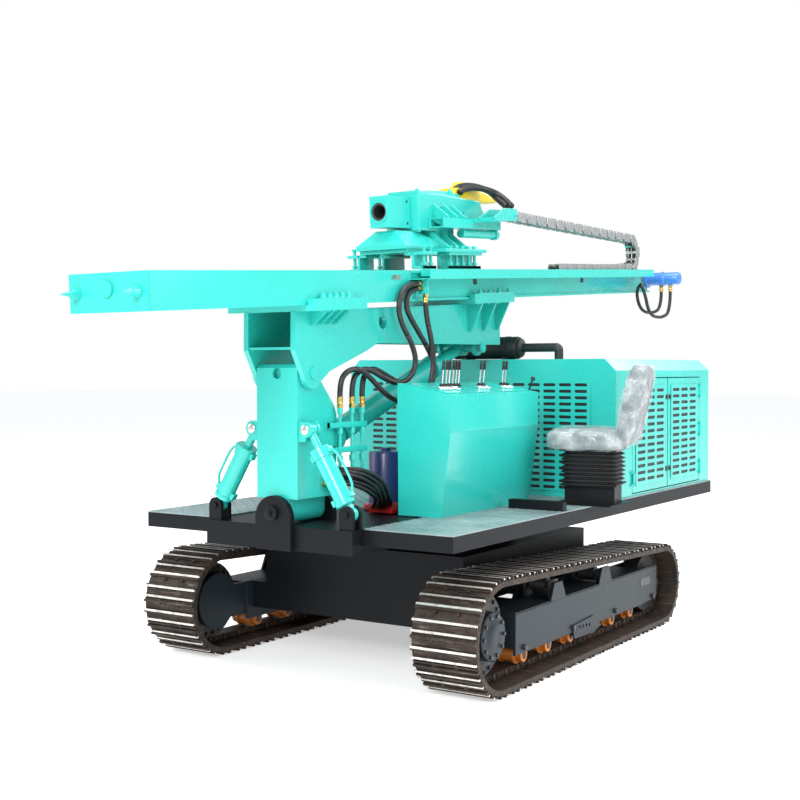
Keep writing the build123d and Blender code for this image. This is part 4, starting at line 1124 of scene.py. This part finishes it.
def add_clamps():
    """Guide clamps of the mast on the carrier: gussets, pads and bolts."""
    mesh, bolts = bmesh.new(), bmesh.new()
    for s0, s1, count, drop in ((-60, 200, 4, 96), (1460, 1860, 3, 190)):
        for sign in (1, -1):
            slab(mesh, mast_plan(-22), [rect(sign * 212, (s0 + s1) / 2, 96, s1 - s0)], 0, 20)
            slab(mesh, mast_plan(15), [rect(sign * 246, (s0 + s1) / 2, 30, s1 - s0)], -30, 18)
            gusset = [(157, -20), (256, -20), (256, -34), (176, -drop), (157, -drop)]
            for k in range(count):
                s = s0 + 30 + k * (s1 - s0 - 72) / (count - 1)
                bar(mesh, s, s + 12, [[(sign * x, h) for x, h in gusset]])
            for k in range(count + 1):
                s = s0 + 25 + k * (s1 - s0 - 50) / count
                bolt(bolts, off_mast(sign * 246, s, 33), 30, stub=8)
                bolt(bolts, facing(on_mast(sign * 234, s, -22), -MAST_UP), 26)
    finish_piece("guide_clamps", mesh, teal, "carrier")
    finish_piece("guide_bolts", bolts, teal, "carrier")


FEED_Y, FEED_Z = 2715.0, 2225.0
FEED_MOTOR = (
    (62, 0), (62, 22), (48, 26), (48, 120), (52, 124), (52, 150), (46, 156), (46, 250), (40, 262), (20, 268),
    (0, 268),
)


def add_feed_motor():
    """Motor on the mast's right side, with two hoses that hang from it."""
    y, z = FEED_Y, FEED_Z
    mesh, ends = bmesh.new(), bmesh.new()
    motor = facing(at(225, y, z), (1, 0, 0))
    lathe(mesh, motor, FEED_MOTOR, 40)
    bolt_circle(ends, motor, 4, 50, 22, 16, 0.5, True)
    ports = ((345, 150), (415, 185))  # x, and how far the hose drops
    for x, _ in ports:
        lathe(mesh, facing(at(x, y, z - 34), (0, 0, -1)), ((20, 0), (20, 16)), 20)
        fitting(ends, at(x, y, z - 50), (0, 0, -1), 14, 46)
    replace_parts(finish_piece("feed_motor_body", mesh, blue, "mast"), "feed_motor")
    finish_piece("feed_motor_fittings", ends, brass, "mast")
    for k, (x, drop) in enumerate(ports):
        route = (
            (x, y, z - 66), (x, y + 4, z - 60 - drop), (x - 40, y - 70, z - 110 - drop),
            (x - 90, y - 190, z - 90 - drop), (x - 110, y - 230, z - 20 - drop * 0.4),
            (290 - 12 * k, y - 250, z - 50))
        hose(f"feed_hose_{k + 1}", [at(*p) for p in route], 24, ["mast"])


# ---------------------------------------------------------------- hoses between the mast and the post
HOSE_D = 28.8
HOSES = (  # name, route from the mast's plate to the carrier's side, route on to the post's couplings
    ("front",
     ((250, -493, 2013), (250, -636, 2006), (250, -720, 1920), (250, -715, 1810), (250, -640, 1735)),
     ((250, -640, 1735), (250, -545, 1640), (250, -577, 1520), (232, -690, 1472), (204, -795, 1508),
      (176, -897, 1560), (158, -962, 1542), (150, -1002, 1488), (150, -1002, 1410))),
    ("middle",
     ((244, -491, 1985), (244, -606, 1982), (244, -650, 1880), (244, -570, 1799), (244, -450, 1690)),
     ((244, -450, 1690), (244, -340, 1590), (244, -375, 1470), (234, -500, 1440), (208, -610, 1465),
      (176, -708, 1515), (154, -808, 1560), (150, -873, 1542), (150, -913, 1488), (150, -913, 1410))),
    ("rear",
     ((268, -483, 1955), (268, -492, 1880), (268, -455, 1785)),
     ((268, -455, 1785), (268, -418, 1690), (268, -400, 1590), (266, -425, 1480), (262, -500, 1390),
      (245, -620, 1368), (222, -735, 1395), (202, -830, 1455), (192, -912, 1520), (184, -1001, 1560),
      (160, -1066, 1542), (150, -1106, 1488), (150, -1106, 1410))),
)


def add_hoses():
    """Three hoses with their ends, and the stand of pipes on the post that they end on."""
    ends, stand = bmesh.new(), bmesh.new()
    for name, upper, lower in HOSES:
        start, following = at(*upper[0]), at(*upper[1])
        fitting(ends, start, following - start, 14, 48)
        x, y, top = lower[-1]
        nut = bmesh.new()
        fitting(nut, at(x, y, top - 50), (0, 0, 1), 15, 56)
        nut = finish_piece(f"coupling_{name}", nut, brass, "post")
        hose(f"hose_{name}_upper", [at(*p) for p in upper], HOSE_D, ["mast", "carrier"])
        hose(f"hose_{name}_lower", [at(*p) for p in lower], HOSE_D, ["carrier", "post"])
        lathe(stand, upright(x, y, 1000), ((9, 0), (9, 352)), 16)
        for z in (1090, 1230, 1330):
            lathe(stand, upright(x, y, z), ((16, 0), (16, 30)), 6)
    for z in (1275, 1150):
        for outline in (rect(150, -1040, 20, 320), rect(139, -1165, 36, 70)):
            slab(stand, level(z), [outline], -14, 14)
    finish_piece("mast_hose_ends", ends, brass, "mast")
    finish_piece("coupling_stand", stand, teal, "post")


DECK_Z = 800.0


def add_oil_unit():
    """Drum on its flange, on the deck behind the post."""
    drum, flange = bmesh.new(), bmesh.new()
    foot = upright(60, -560, DECK_Z)
    lathe(drum, foot, ((92, 18), (92, 300), (86, 310), (30, 312), (28, 330)), 40)
    lathe(flange, foot, ((118, 0), (118, 24), (112, 30)), 40)
    slab(flange, level(DECK_Z), [rect(160, -700, 150, 120)], 0, 46, 4)
    finish_piece("oil_unit_drum", drum, navy)
    finish_piece("oil_unit_flange", flange, red)


def add_foot_hoses():
    """Seven hoses from the post's side down to the deck behind it, in two rows."""
    ends = bmesh.new()
    for k in range(7):
        row, place = divmod(k, 4)
        y, top = -1212 + 30 * place, 985 + 44 * row + 12 * place
        fitting(ends, at(124, y, top), (1, 0, 0), 12, 40)
        route = (
            (146, y, top), (212 + 5 * k, y + 10, top + 12), (252 + 3 * k, y + 120, top - 10),
            (250 + 3 * k, y + 260, top - 70), (205 + 8 * k, y + 350, 880), (130 + 12 * k, y + 420, 826),
            (60 + 14 * k, y + 520, 822))
        hose(f"foot_hose_{k + 1}", [at(*p) for p in route], 22, ["post", "chassis"])
    finish_piece("foot_fittings", ends, brass, "post")


# ---------------------------------------------------------------- cylinders of the post
def add_tilt_cylinder(hand, sign):
    """Collars, a pressure line and the upper pin of one tilt cylinder."""
    base, eye = at(sign * 405, -1375, 868), at(sign * 165, -1375, 1262)
    run = (eye - base).normalized()
    away = Vector((run.z, 0, -run.x)) * sign

    def beside_it(along, out=0.0):
        """A place so far along the cylinder from its lower pin, and out from its axis."""
        return base + (run * along + away * out) * MM

    collars, pin = bmesh.new(), bmesh.new()
    lathe(collars, facing(beside_it(300), run), ((51, 0), (51, 32), (47, 36)), 32)
    lathe(collars, facing(beside_it(50), run), ((50, 0), (50, 18)), 32)
    for along in (70, 310):
        for face in (1, -1):
            slab(collars, axes(beside_it(along), (0, face, 0), run), [rect(0, 14, 34, 30)], 40, 62)
    lathe(pin, facing(eye + Vector((0, -36, 0)) * MM, (0, -1, 0)), ((24, 0), (24, 8), (18, 12)), 24)
    body = f"tilt_{hand}_barrel"
    finish_piece(f"tilt_{hand}_collars", collars, teal, body)
    line = ((90, 55), (100, 85), (200, 88), (300, 85), (325, 55))
    pipe(f"tilt_{hand}_line", [beside_it(*p) for p in line], 12, teal, body)
    finish_piece(f"tilt_{hand}_pin", pin, bright_steel, "post")


def add_cylinder_details():
    for hand, sign in SIDES:
        add_tilt_cylinder(hand, sign)
    cap = bmesh.new()
    lathe(cap, facing(at(0, -1468, 858), (0, -1, 0)), ((36, 0), (36, 8), (28, 12), (0, 12)), 32)
    bolt(cap, facing(at(0, -1480, 858), (0, -1, 0)), 26)
    finish_piece("post_pin_cap", cap, dark)


# ---------------------------------------------------------------- floor, world and lamps
LAMPS = (  # name, place and aim in metres from the datum, width in metres, watts
    ("sky", (1.0, -1.0, 12.0), (0, 0, 0), 9.0, 1150),
    ("key", (2.0, -9.0, 5.5), (0, 0, 1.2), 4.0, 620),
    ("fill", (-8.0, -5.0, 5.0), (0, 0, 1), 6.0, 220),
    ("side", (8.0, 1.0, 5.0), (0, 0, 1), 5.0, 330),
    ("rim", (3.0, 9.0, 7.0), (0, 0, 1), 6.0, 350),
)


def add_floor():
    bpy.ops.mesh.primitive_plane_add(size=140, location=(0, 0, -0.0012))
    floor = bpy.context.object
    floor.name = "floor"
    n = Nodes("floor_white")
    n.set(Base_Color=(0.80, 0.80, 0.80, 1.0), Roughness=0.95, Emission_Color=(1, 1, 1, 1),
          Emission_Strength=0.48)
    floor.data.materials.append(n.material)


def add_world():
    """A dim world that the camera sees as white."""
    world = bpy.data.worlds.new("studio")
    bpy.context.scene.world = world
    world.use_nodes = True
    tree = world.node_tree
    lit, seen = tree.nodes["Background"], tree.nodes.new("ShaderNodeBackground")
    for shader, colour, strength in ((lit, (0.93, 0.97, 1.0, 1), 0.62), (seen, (1, 1, 1, 1), 1.0)):
        shader.inputs["Color"].default_value = colour
        shader.inputs["Strength"].default_value = strength
    path, pick = tree.nodes.new("ShaderNodeLightPath"), tree.nodes.new("ShaderNodeMixShader")
    sources = (path.outputs["Is Camera Ray"], lit.outputs[0], seen.outputs[0])
    for source, socket in zip(sources, pick.inputs):
        tree.links.new(source, socket)
    tree.links.new(pick.outputs[0], tree.nodes["World Output"].inputs[0])


def add_lamp(name, place, aim, width, watts):
    data = bpy.data.lights.new(name, "AREA")
    data.shape = "DISK"
    data.size = width
    data.energy = watts
    lamp = bpy.data.objects.new(name, data)
    lamp.location = DATUM + Vector(place)
    lamp.rotation_euler = (Vector(aim) - Vector(place)).to_track_quat("-Z", "Y").to_euler()
    bpy.context.collection.objects.link(lamp)


for add in (
    add_tracks, add_track_frames, add_rollers, add_deck_tread, add_foot_tube, add_grilles, add_door_catches,
    add_muffler, add_console, add_seat_plates, add_bellows, add_seat_pads, add_head, add_head_motor,
    add_drag_chain, add_mast, add_clamps, add_feed_motor, add_hoses, add_oil_unit, add_foot_hoses,
    add_cylinder_details, add_camera, add_floor, add_world,
):
    add()
for row in LAMPS:
    add_lamp(*row)

bpy.context.scene.view_settings.view_transform = "Standard"
